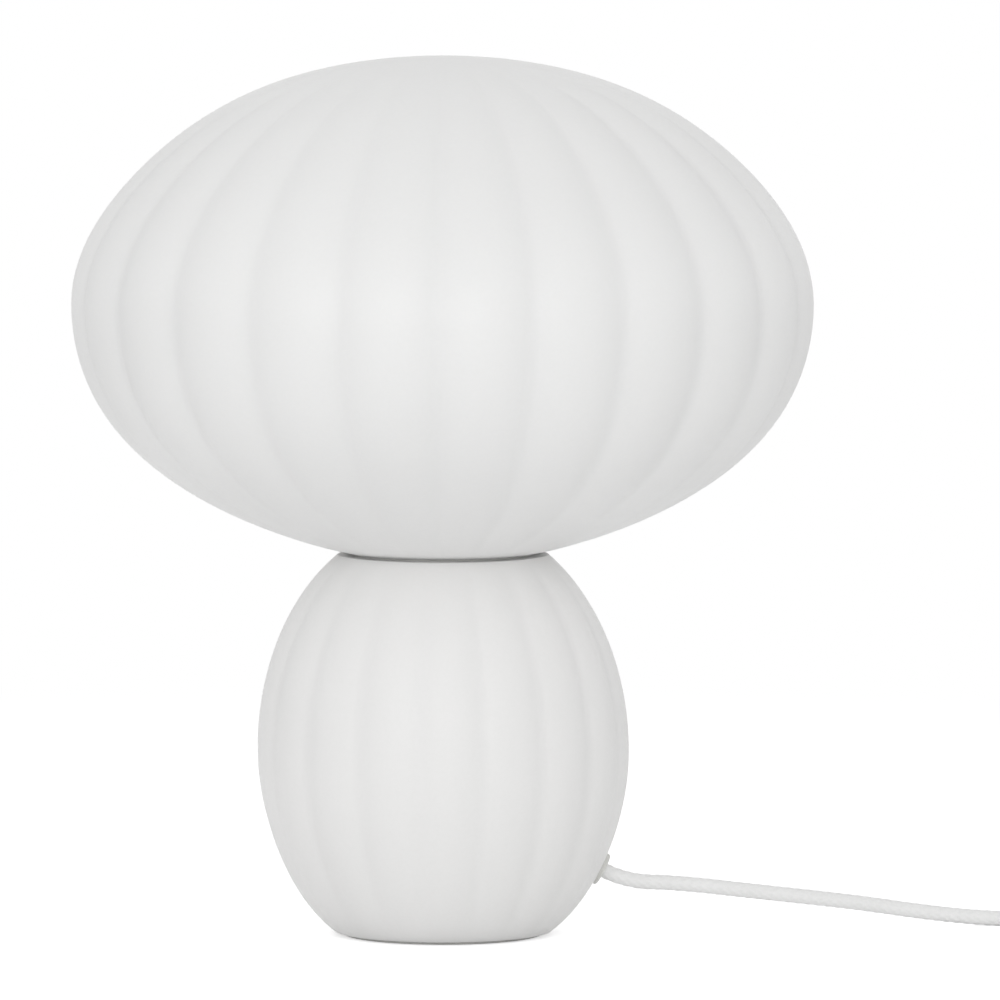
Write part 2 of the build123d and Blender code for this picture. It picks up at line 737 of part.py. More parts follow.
turn_gap = 0.6  # between turns beside each other
layer_gap = 0.5  # between the two layers
coil_outer_radius = 36.0  # to the middle of the cord
half_turns_in = 6
coil_middle = Vector(switch_x + coil_outer_radius, coil_y, cord_radius)  # it starts in line with the switch
half_turn_step = (cord_diameter + turn_gap) / 2
layer_rise = cord_diameter + layer_gap

with BuildPart() as cord_coil:
    with BuildLine() as coil_path:
        side = -1  # -1 while the next half turn starts on the -X side
        here = coil_middle - Vector(coil_outer_radius, 0, 0)
        Line(here - Vector(0, cord_diameter, 0), here)
        for half_turn in range(2 * half_turns_in + 1):
            steps_in = min(half_turn, 2 * half_turns_in - half_turn)
            turn_radius = coil_outer_radius - steps_in * half_turn_step
            across = Vector(-2 * side * turn_radius, 0, 0)
            heading = Vector(0, -side, 0)
            if half_turn == half_turns_in:
                # Two tilted quarter turns climb from the lower layer to the upper one.
                crest = sqrt(turn_radius**2 + layer_rise**2 / 4)
                top = here + across / 2 + Vector(0, -side * crest, layer_rise / 2)
                climbing = Vector(-side * turn_radius, 0, layer_rise / 2)
                there = here + across + Vector(0, 0, layer_rise)
                TangentArc(here, top, tangent=heading)
                TangentArc(top, there, tangent=climbing)
            else:
                there = here + across
                TangentArc(here, there, tangent=heading)
            here = there
            side = -side
        Line(here, here - Vector(0, cord_diameter, 0))
    coil_wire = coil_path.wires()[0]
    with BuildSketch(Plane(origin=coil_wire @ 0, z_dir=coil_wire % 0)):
        Circle(cord_radius)
    sweep(path=coil_wire)
coil_start = coil_middle - Vector(coil_outer_radius, cord_diameter, 0)
coil_end = here - Vector(0, cord_diameter, 0)

# The least gap of the coil to itself, between points more than half a turn apart.
coil_points = []
for edge in coil_path.edges():
    count = max(2, int(edge.length / 2.5))
    coil_points += [edge @ (step / count) for step in range(count)]
sample_spacing = coil_wire.length / len(coil_points)
apart = int(pi * coil_outer_radius * 0.5 / sample_spacing)
least = min(
    (one - other).length for first, one in enumerate(coil_points) for other in coil_points[first + apart:]
)
coil_fill = cord_coil.part.volume / (pi * cord_radius**2 * coil_wire.length)
print(f"cord_coil: {coil_wire.length:.1f} mm, volume over section x length {coil_fill:.4f}")
print(f"cord_coil: least gap to itself {least - cord_diameter:.2f} mm")

# ---------------------------------------------------------------- plug

plug_start = Vector(plug_x, plug_y, plug_thickness / 2)
plug_axis = Plane(origin=plug_start, x_dir=(1, 0, 0), z_dir=(0, -1, 0))
plug_shoulder = plug_axis.offset(plug_boot_length)
plug_face = plug_axis.offset(plug_boot_length + plug_body_length)
plug_corner = 4.0

with BuildPart() as plug_body:
    with BuildSketch(plug_shoulder):
        RectangleRounded(4 * plug_boot_radius, 2.2 * plug_boot_radius, plug_corner)
    with BuildSketch(plug_shoulder.offset(plug_body_length * 0.6)):
        RectangleRounded(plug_width, plug_thickness, plug_corner)
    with BuildSketch(plug_face):
        RectangleRounded(plug_width, plug_thickness, plug_corner)
    loft(ruled=True)

with BuildPart() as plug_boot:
    with BuildSketch(plug_axis):
        Circle(0.75 * plug_boot_radius)
    with BuildSketch(plug_shoulder):
        Circle(plug_boot_radius)
    loft()

with BuildPart() as plug_pins:
    with BuildSketch(plug_face):
        with GridLocations(pin_spacing, 0, 2, 1):
            Circle(pin_radius)
    extrude(amount=pin_length)
    fillet(plug_pins.faces().sort_by(Axis.Y)[:2].edges(), 0.8 * pin_radius)

# ---------------------------------------------------------------- free stretches of the cord

# From the bush to the switch: the stretch in view sinks to the surface, then turns back out of view.
lamp_stretch_route = [
    bush_face.origin,
    bush_face.offset(8).origin,
    Vector(73, 4.5, 15.3),
    Vector(100, 9, 11.7),
    Vector(127, 15, 8.2),
    Vector(150, 20, 4.3),
    Vector(167, 21.5, cord_radius),
    Vector(182, 17, cord_radius),
    Vector(192.5, 4.5, cord_radius),
    Vector(196, -12, cord_radius),
    Vector(194.5, -34, cord_radius),
    Vector(197.5, -56, cord_radius),
    Vector(210.5, -76, cord_radius),
    Vector(232, -83, cord_radius),
    switch_start + Vector(-9, -42.5, -4),
    switch_start + Vector(-0.5, -24, -1.2),
    switch_start + Vector(0.5, -11, 0),
    switch_start,
]
# From the switch to the coil.
switch_stretch_route = [
    switch_end,
    switch_end + Vector(0, 10, 0),
    switch_end + Vector(1.2, 20, -3.2),
    coil_start - Vector(0, 9, 0),
    coil_start,
]
# From the top of the coil to the plug.
plug_stretch_route = [
    coil_end,
    coil_end - Vector(0, 12.2, 0),
    plug_start + Vector(9.5, 43, -0.4),
    plug_start + Vector(3.5, 28, -0.6),
    plug_start + Vector(0, 13, 0),
    plug_start,
]
cord_to_switch = round_tube("cord_to_switch", lamp_stretch_route, cord_diameter)
cord_to_coil = round_tube("cord_to_coil", switch_stretch_route, cord_diameter)
cord_to_plug = round_tube("cord_to_plug", plug_stretch_route, cord_diameter)

# ---------------------------------------------------------------- one file per piece

pieces = {
    "base_body": base_body,
    "shade": shade,
    "shade_ring": shade_ring,
    "felt_pad": felt_pad,
    "plate_ring": plate_ring,
    "bottom_plate": bottom_plate,
    "gallery_ring": gallery_ring,
    "gallery": gallery,
    "draw_tube": draw_tube,
    "bottom_washer": bottom_washer,
    "bottom_nut": bottom_nut,
    "top_washer": top_washer,
    "top_nut": top_nut,
    "cord_bush": cord_bush,
    "cord_stop": cord_stop,
    "cord_stop_screw": cord_stop_screw,
    "inner_cord": inner_cord,
    "live_wire": live_wire,
    "neutral_wire": neutral_wire,
    "holder_cap": holder_cap,
    "holder_grub_screw": holder_grub_screw,
    "holder_sleeve": holder_sleeve,
    "holder_core": holder_core,
    "terminal_screws": terminal_screws,
    "screw_shell": screw_shell,
    "centre_contact": centre_contact,
    "bulb_tip": bulb_tip,
    "bulb_insulator": bulb_insulator,
    "bulb_cap": bulb_cap,
    "bulb_collar": bulb_collar,
    "bulb_globe": bulb_globe,
    "switch_lower": switch_lower,
    "switch_upper": switch_upper,
    "switch_screws": switch_screws,
    "switch_rocker": switch_rocker,
    "rocker_pin": rocker_pin,
    "switch_terminals": switch_terminals,
    "cord_coil": cord_coil,
    "plug_body": plug_body,
    "plug_boot": plug_boot,
    "plug_pins": plug_pins,
    "cord_to_switch": cord_to_switch,
    "cord_to_coil": cord_to_coil,
    "cord_to_plug": cord_to_plug,
}
for name, piece in pieces.items():
    piece.part.label = name
    export_step(piece.part, f"parts/{name}.step")
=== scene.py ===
"""The looks of a mushroom table lamp of ribbed opal glass, with its fittings, braided cord, switch and plug.

Everything is in metres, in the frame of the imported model: +Z up along the lamp's axis, -Y towards the viewer and
+X towards the side that the cord leaves.
"""

import json
import logging
import math
from collections.abc import Iterable, Sequence
from dataclasses import dataclass
from enum import Enum

import bmesh
import bpy
import numpy as np
from mathutils import Matrix, Vector


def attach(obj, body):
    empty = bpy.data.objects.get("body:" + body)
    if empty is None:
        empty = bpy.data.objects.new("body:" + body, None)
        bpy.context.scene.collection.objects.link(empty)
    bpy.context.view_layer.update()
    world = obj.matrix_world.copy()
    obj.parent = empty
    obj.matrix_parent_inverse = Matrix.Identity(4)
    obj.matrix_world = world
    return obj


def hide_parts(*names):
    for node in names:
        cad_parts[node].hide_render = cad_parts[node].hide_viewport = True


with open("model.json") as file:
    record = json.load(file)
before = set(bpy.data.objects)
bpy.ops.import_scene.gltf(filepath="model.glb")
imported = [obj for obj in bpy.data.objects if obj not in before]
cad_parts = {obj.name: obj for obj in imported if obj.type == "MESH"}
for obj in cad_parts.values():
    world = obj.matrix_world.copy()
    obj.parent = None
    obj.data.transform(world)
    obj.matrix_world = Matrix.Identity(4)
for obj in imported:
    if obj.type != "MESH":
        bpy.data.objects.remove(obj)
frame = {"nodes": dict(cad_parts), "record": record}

log = logging.getLogger("lamp")
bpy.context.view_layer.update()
MM = 0.001
SHARP_EDGE = math.radians(35)
NOISE_MIDDLE = (0.3, 0.7)  # where most of a noise's values lie

Colour = tuple[float, float, float]
Point = tuple[float, float, float]


class Body(Enum):
    """The rigid bodies that pieces ride on."""

    LAMP = "lamp"
    SHADE = "shade"
    BULB = "bulb"


# ---------------------------------------------------------------- shader graphs and shared groups


class Graph:
    """A node tree with short calls for adding nodes and joining their sockets."""

    def __init__(self, tree: bpy.types.NodeTree) -> None:
        """Starts on a tree that is already empty.

        Args:
            tree: The material's or the group's tree.
        """
        self.tree = tree

    def add(self, kind: str, **settings: object) -> bpy.types.Node:
        """Adds a node.

        Args:
            kind: The node's type, without the ShaderNode prefix.
            **settings: Attributes of the node, such as its operation.

        Returns:
            The new node.
        """
        node = self.tree.nodes.new("ShaderNode" + kind)
        for name, value in settings.items():
            setattr(node, name, value)
        return node

    def join(self, source: bpy.types.NodeSocket, target: bpy.types.NodeSocket) -> None:
        """Joins an output to an input."""
        self.tree.links.new(source, target)

    def noise(self, place: bpy.types.NodeSocket, scale: object, detail: float = 3.0) -> bpy.types.Node:
        """Adds a noise texture.

        Args:
            place: The socket that gives the place.
            scale: A number, or a socket that gives one.
            detail: The octaves of the noise.

        Returns:
            The texture node.
        """
        texture = self.add("TexNoise")
        texture.inputs["Detail"].default_value = detail
        self.join(place, texture.inputs["Vector"])
        self.feed(scale, texture.inputs["Scale"])
        return texture

    def feed(self, value: object, target: bpy.types.NodeSocket) -> None:
        """Sets an input to a number or colour, or joins it to a socket."""
        if isinstance(value, bpy.types.NodeSocket):
            self.join(value, target)
        else:
            target.default_value = value

    def maths(self, operation: str, *values: object) -> bpy.types.NodeSocket:
        """Adds a Math node.

        Args:
            operation: What it does, such as MULTIPLY.
            *values: Numbers or sockets.

        Returns:
            The result.
        """
        node = self.add("Math", operation=operation)
        for value, target in zip(values, node.inputs):
            self.feed(value, target)
        return node.outputs[0]

    def spread(self, value: bpy.types.NodeSocket, low: object, high: object) -> bpy.types.NodeSocket:
        """Stretches the middle of a noise over a range.

        Args:
            value: The noise.
            low: The range's start, a number or a socket.
            high: Its end.

        Returns:
            The stretched value.
        """
        node = self.add("MapRange")
        self.join(value, node.inputs["Value"])
        node.inputs["From Min"].default_value, node.inputs["From Max"].default_value = NOISE_MIDDLE
        self.feed(low, node.inputs["To Min"])
        self.feed(high, node.inputs["To Max"])
        return node.outputs["Result"]

    def blend(self, share: object, first: object, second: object) -> bpy.types.NodeSocket:
        """Blends two colours.

        Args:
            share: How much of the second, a number or a socket.
            first: A colour or a socket.
            second: A colour or a socket.

        Returns:
            The blended colour.
        """
        node = self.add("Mix", data_type="RGBA")
        colours = [socket for socket in node.inputs if socket.type == "RGBA"]
        self.feed(share, node.inputs["Factor"])
        self.feed(first, colours[0])
        self.feed(second, colours[1])
        return next(socket for socket in node.outputs if socket.type == "RGBA")


def empty_graph(owner: bpy.types.ID) -> Graph:
    """Gives a material or a world an empty shader graph."""
    owner.use_nodes = True
    owner.node_tree.nodes.clear()
    return Graph(owner.node_tree)


def new_group(name: str, inputs: Sequence[tuple[str, str]], outputs: Sequence[tuple[str, str]]) -> bpy.types.NodeTree:
    """Makes an empty shader group with its sockets.

    Args:
        name: The group's name.
        inputs: The name and socket type of each input.
        outputs: The same of each output.

    Returns:
        The group's tree, with its Group Input and Group Output nodes.
    """
    tree = bpy.data.node_groups.new(name, "ShaderNodeTree")
    for label, kind in inputs:
        tree.interface.new_socket(label, in_out="INPUT", socket_type="NodeSocket" + kind)
    for label, kind in outputs:
        tree.interface.new_socket(label, in_out="OUTPUT", socket_type="NodeSocket" + kind)
    tree.nodes.new("NodeGroupInput").name = "in"
    tree.nodes.new("NodeGroupOutput").name = "out"
    return tree


def make_grain() -> bpy.types.NodeTree:
    """Makes the group for a surface that drifts a little in colour, gloss and height.

    Returns:
        The group: a broad noise drifts the colour, a fine one gives the gloss and the height.
    """
    tree = new_group(
        "surface_grain",
        [("Place", "Vector"), ("Fine Scale", "Float"), ("Broad Scale", "Float"), ("Pale", "Color"),
         ("Dark", "Color"), ("Smooth", "Float"), ("Rough", "Float")],
        [("Color", "Color"), ("Roughness", "Float"), ("Height", "Float")],
    )
    graph = Graph(tree)
    source = tree.nodes["in"].outputs
    result = tree.nodes["out"].inputs
    broad = graph.noise(source["Place"], source["Broad Scale"], 2.0)
    fine = graph.noise(source["Place"], source["Fine Scale"], 4.0)
    drift = graph.spread(broad.outputs["Fac"], 0.0, 1.0)
    speck = graph.spread(fine.outputs["Fac"], 0.0, 1.0)
    share = graph.maths("MULTIPLY_ADD", speck, 0.35, graph.maths("MULTIPLY", drift, 0.65))
    graph.join(graph.blend(share, source["Pale"], source["Dark"]), result["Color"])
    gloss = graph.maths("MULTIPLY_ADD", drift, 0.4, graph.maths("MULTIPLY", speck, 0.6))
    graph.join(graph.spread(gloss, source["Smooth"], source["Rough"]), result["Roughness"])
    graph.join(fine.outputs["Fac"], result["Height"])
    return tree


def make_fibres() -> bpy.types.NodeTree:
    """Makes the group for short matted or twisted fibres.

    Returns:
        The group: two stretched noises at an angle to each other give a height and a mask of pale fibres.
    """
    tree = new_group(
        "fibres",
        [("Place", "Vector"), ("Scale", "Float"), ("Stretch", "Float")],
        [("Height", "Float"), ("Mask", "Float")],
    )
    graph = Graph(tree)
    source = tree.nodes["in"].outputs
    result = tree.nodes["out"].inputs
    heights = []
    for turn in (0.6, 2.1):
        place = graph.add("VectorRotate", rotation_type="EULER_XYZ")
        place.inputs["Rotation"].default_value = (turn, turn / 2, turn)
        graph.join(source["Place"], place.inputs["Vector"])
        stretched = graph.add("VectorMath", operation="MULTIPLY")
        sizes = graph.add("CombineXYZ")
        graph.join(place.outputs["Vector"], stretched.inputs[0])
        for axis, value in zip("XYZ", (source["Stretch"], 1.0, 1.0)):
            graph.feed(value, sizes.inputs[axis])
        graph.join(sizes.outputs["Vector"], stretched.inputs[1])
        heights.append(graph.noise(stretched.outputs["Vector"], source["Scale"], 2.0).outputs["Fac"])
    height = graph.maths("MAXIMUM", *heights)
    graph.join(height, result["Height"])
    graph.join(graph.spread(height, 0.0, 1.0), result["Mask"])
    return tree


GRAIN = make_grain()
FIBRES = make_fibres()

# ---------------------------------------------------------------- finishes


@dataclass(frozen=True)
class Finish:
    """A hard finish: two near colours that drift into each other, between two roughnesses, with a fine relief.

    Attributes:
        slot: The record's material slot.
        pale: The lighter colour, linear.
        dark: The darker one.
        smooth: The lowest roughness.
        rough: The highest.
        fine: Features of the fine noise to a metre.
        broad: Features of the broad noise to a metre.
        relief: Height of the fine noise in metres.
        metallic: 1 on a metal.
        sheen: How much the fibres of the surface catch grazing light.
        coat: Strength of a clear gloss on top.
        glow: Share of the light that is scattered under the surface, as in opal glass.
        glow_reach: How far it is scattered, in metres.
    """

    slot: str
    pale: Colour
    dark: Colour
    smooth: float
    rough: float
    fine: float = 1500.0
    broad: float = 60.0
    relief: float = 0.00001
    metallic: float = 0.0
    sheen: float = 0.0
    coat: float = 0.0
    glow: float = 0.0
    glow_reach: float = 4 * MM

    def material(self) -> bpy.types.Material:
        """Makes the finish's material, or finds it if a piece already has it."""
        found = bpy.data.materials.get("finish_" + self.slot)
        return found or self.build()

    def build(self) -> bpy.types.Material:
        """Builds the material.

        Returns:
            A Principled surface whose colour, roughness and relief come from the shared groups.
        """
        material = bpy.data.materials.new("finish_" + self.slot)
        graph = empty_graph(material)
        surface = graph.add("BsdfPrincipled")
        output = graph.add("OutputMaterial")
        graph.join(surface.outputs["BSDF"], output.inputs["Surface"])
        for name, value in (
            ("Metallic", self.metallic), ("Sheen Weight", self.sheen), ("Coat Weight", self.coat),
            ("Subsurface Weight", self.glow), ("Subsurface Radius", (1.0, 1.0, 1.0)),
            ("Subsurface Scale", self.glow_reach),
        ):
            surface.inputs[name].default_value = value
        self.dress(graph, surface)
        return material

    def dress(self, graph: Graph, surface: bpy.types.Node) -> None:
        """Feeds the surface's colour, roughness and relief.

        Args:
            graph: The material's graph.
            surface: Its Principled node.
        """
        place = graph.add("TexCoord").outputs["Object"]
        grain = self.place_grain(graph, place)
        graph.join(grain.outputs["Color"], surface.inputs["Base Color"])
        graph.join(grain.outputs["Roughness"], surface.inputs["Roughness"])
        self.raise_relief(graph, surface, grain.outputs["Height"])

    def place_grain(self, graph: Graph, place: bpy.types.NodeSocket) -> bpy.types.Node:
        """Adds the grain group with this finish's values.

        Args:
            graph: The material's graph.
            place: The socket that gives the place.

        Returns:
            The group's node.
        """
        grain = graph.add("Group", node_tree=GRAIN)
        graph.join(place, grain.inputs["Place"])
        for name, value in (
            ("Fine Scale", self.fine), ("Broad Scale", self.broad), ("Pale", (*self.pale, 1.0)),
            ("Dark", (*self.dark, 1.0)), ("Smooth", self.smooth), ("Rough", self.rough),
        ):
            grain.inputs[name].default_value = value
        return grain

    def raise_relief(self, graph: Graph, surface: bpy.types.Node, height: bpy.types.NodeSocket) -> None:
        """Feeds a height to the surface's normal, at this finish's relief.

        Args:
            graph: The material's graph.
            surface: Its Principled node.
            height: The height, from 0 to 1.
        """
        bump = graph.add("Bump")
        bump.inputs["Strength"].default_value = 1.0
        bump.inputs["Distance"].default_value = self.relief
        graph.join(height, bump.inputs["Height"])
        graph.join(bump.outputs["Normal"], surface.inputs["Normal"])


@dataclass(frozen=True)
class BrushedMetal(Finish):
    """A metal with fine turning marks round the lamp's axis."""

    marks: float = 2600.0
    mark_stretch: tuple[float, float, float] = (0.04, 0.04, 1.0)
    mark_roughness: float = 0.06

    def dress(self, graph: Graph, surface: bpy.types.Node) -> None:
        """Adds turning marks to the grain, which level bands of noise stand for."""
        place = graph.add("TexCoord").outputs["Object"]
        grain = self.place_grain(graph, place)
        bands = graph.add("Mapping")
        bands.inputs["Scale"].default_value = self.mark_stretch
        graph.join(place, bands.inputs["Vector"])
        marks = graph.noise(bands.outputs["Vector"], self.marks, 2.0)
        graph.join(grain.outputs["Color"], surface.inputs["Base Color"])
        scratch = graph.spread(marks.outputs["Fac"], -self.mark_roughness, self.mark_roughness)
        graph.join(graph.maths("ADD", grain.outputs["Roughness"], scratch), surface.inputs["Roughness"])
        height = graph.maths("ADD", grain.outputs["Height"], marks.outputs["Fac"])
        self.raise_relief(graph, surface, height)


@dataclass(frozen=True)
class Textile(Finish):
    """A textile whose fibres show: a braided sleeve or a felt."""

    fibre_stretch: float = 0.25
    on_surface: bool = False

    def dress(self, graph: Graph, surface: bpy.types.Node) -> None:
        """Lays pale fibres over the grain, on the piece's own UV map where it has one."""
        coordinates = graph.add("TexCoord")
        place = coordinates.outputs["UV" if self.on_surface else "Object"]
        grain = self.place_grain(graph, coordinates.outputs["Object"])
        fibres = graph.add("Group", node_tree=FIBRES)
        graph.join(place, fibres.inputs["Place"])
        fibres.inputs["Scale"].default_value = self.fine
        fibres.inputs["Stretch"].default_value = self.fibre_stretch
        colour = graph.blend(fibres.outputs["Mask"], grain.outputs["Color"], (*self.pale, 1.0))
        graph.join(colour, surface.inputs["Base Color"])
        graph.join(grain.outputs["Roughness"], surface.inputs["Roughness"])
        self.raise_relief(graph, surface, fibres.outputs["Height"])


def satin_glass(slot: str, pale: Colour, dark: Colour) -> Finish:
    """The etched opal glass of the shade and the base."""
    return Finish(slot, pale, dark, 0.46, 0.58, fine=900.0, broad=14.0, relief=0.000006, glow=0.30)


def moulded(slot: str, pale: Colour, dark: Colour, smooth: float, rough: float) -> Finish:
    """A moulded plastic with a fine orange-peel relief."""
    return Finish(slot, pale, dark, smooth, rough, fine=2200.0, broad=90.0, relief=0.000008)


FINISHES = {
    finish.slot: finish
    for finish in (
        satin_glass("opal_glass_shade", (0.87, 0.87, 0.865), (0.845, 0.845, 0.84)),
        satin_glass("opal_glass_base", (0.86, 0.855, 0.85), (0.83, 0.828, 0.82)),
        Finish("silicone", (0.62, 0.62, 0.60), (0.55, 0.55, 0.53), 0.35, 0.55),
        Textile("felt", (0.62, 0.62, 0.60), (0.50, 0.50, 0.48), 0.85, 1.0, fine=900.0, relief=0.0003, sheen=0.5),
        Textile(
            "textile_cord", (0.88, 0.88, 0.875), (0.80, 0.80, 0.795), 0.35, 0.60, fine=9.0, broad=120.0,
            relief=0.00008, sheen=0.35, fibre_stretch=0.2, on_surface=True,
        ),
        BrushedMetal("zinc_steel", (0.62, 0.63, 0.64), (0.52, 0.53, 0.54), 0.28, 0.45, metallic=1.0),
        BrushedMetal("brass", (0.83, 0.64, 0.30), (0.70, 0.52, 0.24), 0.22, 0.38, metallic=1.0),
        BrushedMetal("nickel_cap", (0.70, 0.68, 0.64), (0.60, 0.58, 0.55), 0.20, 0.36, metallic=1.0),
        BrushedMetal("nickel_pins", (0.72, 0.70, 0.67), (0.62, 0.60, 0.57), 0.16, 0.30, metallic=1.0),
        Finish("solder", (0.60, 0.60, 0.61), (0.45, 0.45, 0.46), 0.30, 0.55, relief=0.00004, metallic=1.0),
        Finish("white_paint", (0.82, 0.82, 0.81), (0.78, 0.78, 0.77), 0.30, 0.42, fine=1200.0, relief=0.00002),
        Finish("bulb_opal", (0.90, 0.90, 0.89), (0.87, 0.87, 0.86), 0.18, 0.28, broad=25.0, glow=0.3),
        Finish("black_insulator", (0.02, 0.02, 0.022), (0.01, 0.01, 0.01), 0.12, 0.25, coat=0.3),
        Finish("holder_ceramic", (0.78, 0.76, 0.71), (0.68, 0.66, 0.61), 0.55, 0.80, relief=0.00004),
        moulded("bush_plastic", (0.72, 0.72, 0.69), (0.66, 0.66, 0.63), 0.38, 0.52),
        moulded("white_plastic", (0.80, 0.80, 0.78), (0.75, 0.75, 0.73), 0.35, 0.50),
        moulded("holder_plastic", (0.82, 0.82, 0.80), (0.77, 0.77, 0.75), 0.30, 0.45),
        moulded("bulb_plastic", (0.86, 0.86, 0.85), (0.82, 0.82, 0.81), 0.22, 0.32),
        moulded("switch_plastic", (0.82, 0.82, 0.81), (0.77, 0.77, 0.76), 0.28, 0.42),
        moulded("rocker_plastic", (0.85, 0.85, 0.84), (0.81, 0.81, 0.80), 0.18, 0.28),
        moulded("plug_plastic", (0.82, 0.82, 0.81), (0.76, 0.76, 0.75), 0.38, 0.55),
        moulded("brown_insulation", (0.11, 0.045, 0.02), (0.08, 0.03, 0.015), 0.28, 0.42),
        moulded("blue_insulation", (0.02, 0.08, 0.36), (0.015, 0.06, 0.28), 0.28, 0.42),
    )
}

# ---------------------------------------------------------------- mesh helpers


def link(mesh: bpy.types.Mesh, name: str) -> bpy.types.Object:
    """Puts a mesh into the scene as a smooth-shaded object whose hard edges stay hard.

    Args:
        mesh: The mesh, with its place in its vertices.
        name: The piece's name.

    Returns:
        The new object.
    """
    mesh.shade_smooth()
    mesh.set_sharp_from_angle(angle=SHARP_EDGE)
    piece = bpy.data.objects.new(name, mesh)
    bpy.context.scene.collection.objects.link(piece)
    return piece


def dress(piece: bpy.types.Object, slot: str, body: Body, *nodes: str) -> bpy.types.Object:
    """Gives a new piece its finish and its body, and hides the CAD nodes that it stands for.

    Args:
        piece: The piece.
        slot: The record's material slot.
        body: The body that it rides on.
        *nodes: The nodes that it replaces.

    Returns:
        The piece.
    """
    piece.data.materials.clear()
    piece.data.materials.append(FINISHES[slot].material())
    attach(piece, body.value)
    if nodes:
        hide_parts(*nodes)
    log.info("%s: %s on %s, for %s", piece.name, slot, body.value, ", ".join(nodes) or "no node")
    return piece


def to_mesh(bm: bmesh.types.BMesh, name: str) -> bpy.types.Mesh:
    """Turns a bmesh into a mesh with its faces outwards, and frees it.

    Args:
        bm: The bmesh.
        name: The mesh's name.

    Returns:
        The mesh.
    """
    bmesh.ops.recalc_face_normals(bm, faces=bm.faces)
    mesh = bpy.data.meshes.new(name)
    bm.to_mesh(mesh)
    bm.free()
    return mesh


def to_piece(bm: bmesh.types.BMesh, name: str) -> bpy.types.Object:
    """Turns a bmesh into an object in the scene, and frees it."""
    return link(to_mesh(bm, name), name)


@dataclass(frozen=True)
class Corner:
    """One point of an outline that is spun round the lamp's axis.

    Attributes:
        radius: Distance from the axis.
        height: Height over the surface that the lamp stands on.
        ribbed: How much of the depth of ribs or of a thread this point takes.
        rounding: Radius of the round that takes the point's place.
    """

    radius: float
    height: float
    ribbed: float = 0.0
    rounding: float = 0.0

    @property
    def place(self) -> Vector:
        """The point in its own plane."""
        return Vector((self.radius, self.height))


def plain(points: Iterable[tuple[float, float]], ribbed: float = 0.0) -> list[Corner]:
    """Corners without a rounding, from radius and height."""
    return [Corner(radius, height, ribbed) for radius, height in points]


def rounded(outline: Sequence[Corner], segments: int = 4) -> list[Corner]:
    """Puts an arc in the place of each corner that has a rounding.

    Args:
        outline: A closed outline.
        segments: Edges to an arc.

    Returns:
        The outline with its arcs.
    """
    found = []
    for index, corner in enumerate(outline):
        if not corner.rounding:
            found.append(corner)
            continue
        before = outline[index - 1].place - corner.place
        after = outline[(index + 1) % len(outline)].place - corner.place
        half = before.angle(after) / 2
        reach = min(corner.rounding / math.tan(half), 0.45 * before.length, 0.45 * after.length)
        middle = corner.place + (before.normalized() + after.normalized()).normalized() * reach / math.cos(half)
        first = corner.place + before.normalized() * reach - middle
        last = corner.place + after.normalized() * reach - middle
        for share in steps_between(0, 1, segments + 1):
            at = middle + first.slerp(last, share) * first.length
            found.append(Corner(at.x, at.y, corner.ribbed))
    return found


def spin_outline(outline: Sequence[Corner], steps: int) -> bmesh.types.BMesh:
    """Spins a closed outline once round the lamp's axis.

    Args:
        outline: The corners.
        steps: Faces round the piece.

    Returns:
        The bmesh, with the seam and any pole merged, and each vertex's share of the ribs in the layer "ribbed".
    """
    bm = bmesh.new()
    ribbed = bm.verts.layers.float.new("ribbed")
    corners = []
    for corner in outline:
        vertex = bm.verts.new((corner.radius, 0.0, corner.height))
        vertex[ribbed] = corner.ribbed
        corners.append(vertex)
    for first, second in zip(corners, [*corners[1:], corners[0]]):
        bm.edges.new((first, second))
    bmesh.ops.spin(
        bm, geom=[*bm.verts, *bm.edges], cent=(0, 0, 0), axis=(0, 0, 1), angle=math.tau, steps=steps,
        use_merge=True,
    )
    bmesh.ops.remove_doubles(bm, verts=bm.verts, dist=0.002 * MM)
    return bm


def steps_between(first: float, last: float, count: int) -> list[float]:
    """Evenly spaced values from first to last."""
    return [first + (last - first) * step / (count - 1) for step in range(count)]


def cut(piece: bpy.types.Object, cutters: Iterable[bpy.types.Object]) -> bpy.types.Object:
    """Cuts pieces away from a piece, and removes them.

    Args:
        piece: What is cut.
        cutters: Closed pieces that take their space out of it.

    Returns:
        The piece, with the cut in its own mesh.
    """
    tools = list(cutters)
    for tool in tools:
        change = piece.modifiers.new("cut", "BOOLEAN")
        change.operation = "DIFFERENCE"
        change.solver = "EXACT"
        change.object = tool
    graph = bpy.context.evaluated_depsgraph_get()
    mesh = bpy.data.meshes.new_from_object(piece.evaluated_get(graph))
    piece.modifiers.clear()
    piece.data = mesh
    for tool in tools:
        bpy.data.objects.remove(tool)
    return piece


def rod(start: Vector, direction: Vector, radius: float, length: float, name: str) -> bpy.types.Object:
    """Makes a closed round rod.

    Args:
        start: The middle of its first end.
        direction: Where it points.
        radius: Its radius.
        length: Its length.
        name: The object's name.

    Returns:
        The rod, as an object.
    """
    bm = bmesh.new()
    turn = direction.to_track_quat("Z", "Y").to_matrix().to_4x4()
    place = Matrix.Translation(start + direction * length / 2) @ turn
    bmesh.ops.create_cone(
        bm, cap_ends=True, segments=64, radius1=radius, radius2=radius, depth=length, matrix=place
    )
    return to_piece(bm, name)


# ---------------------------------------------------------------- ribbed glass


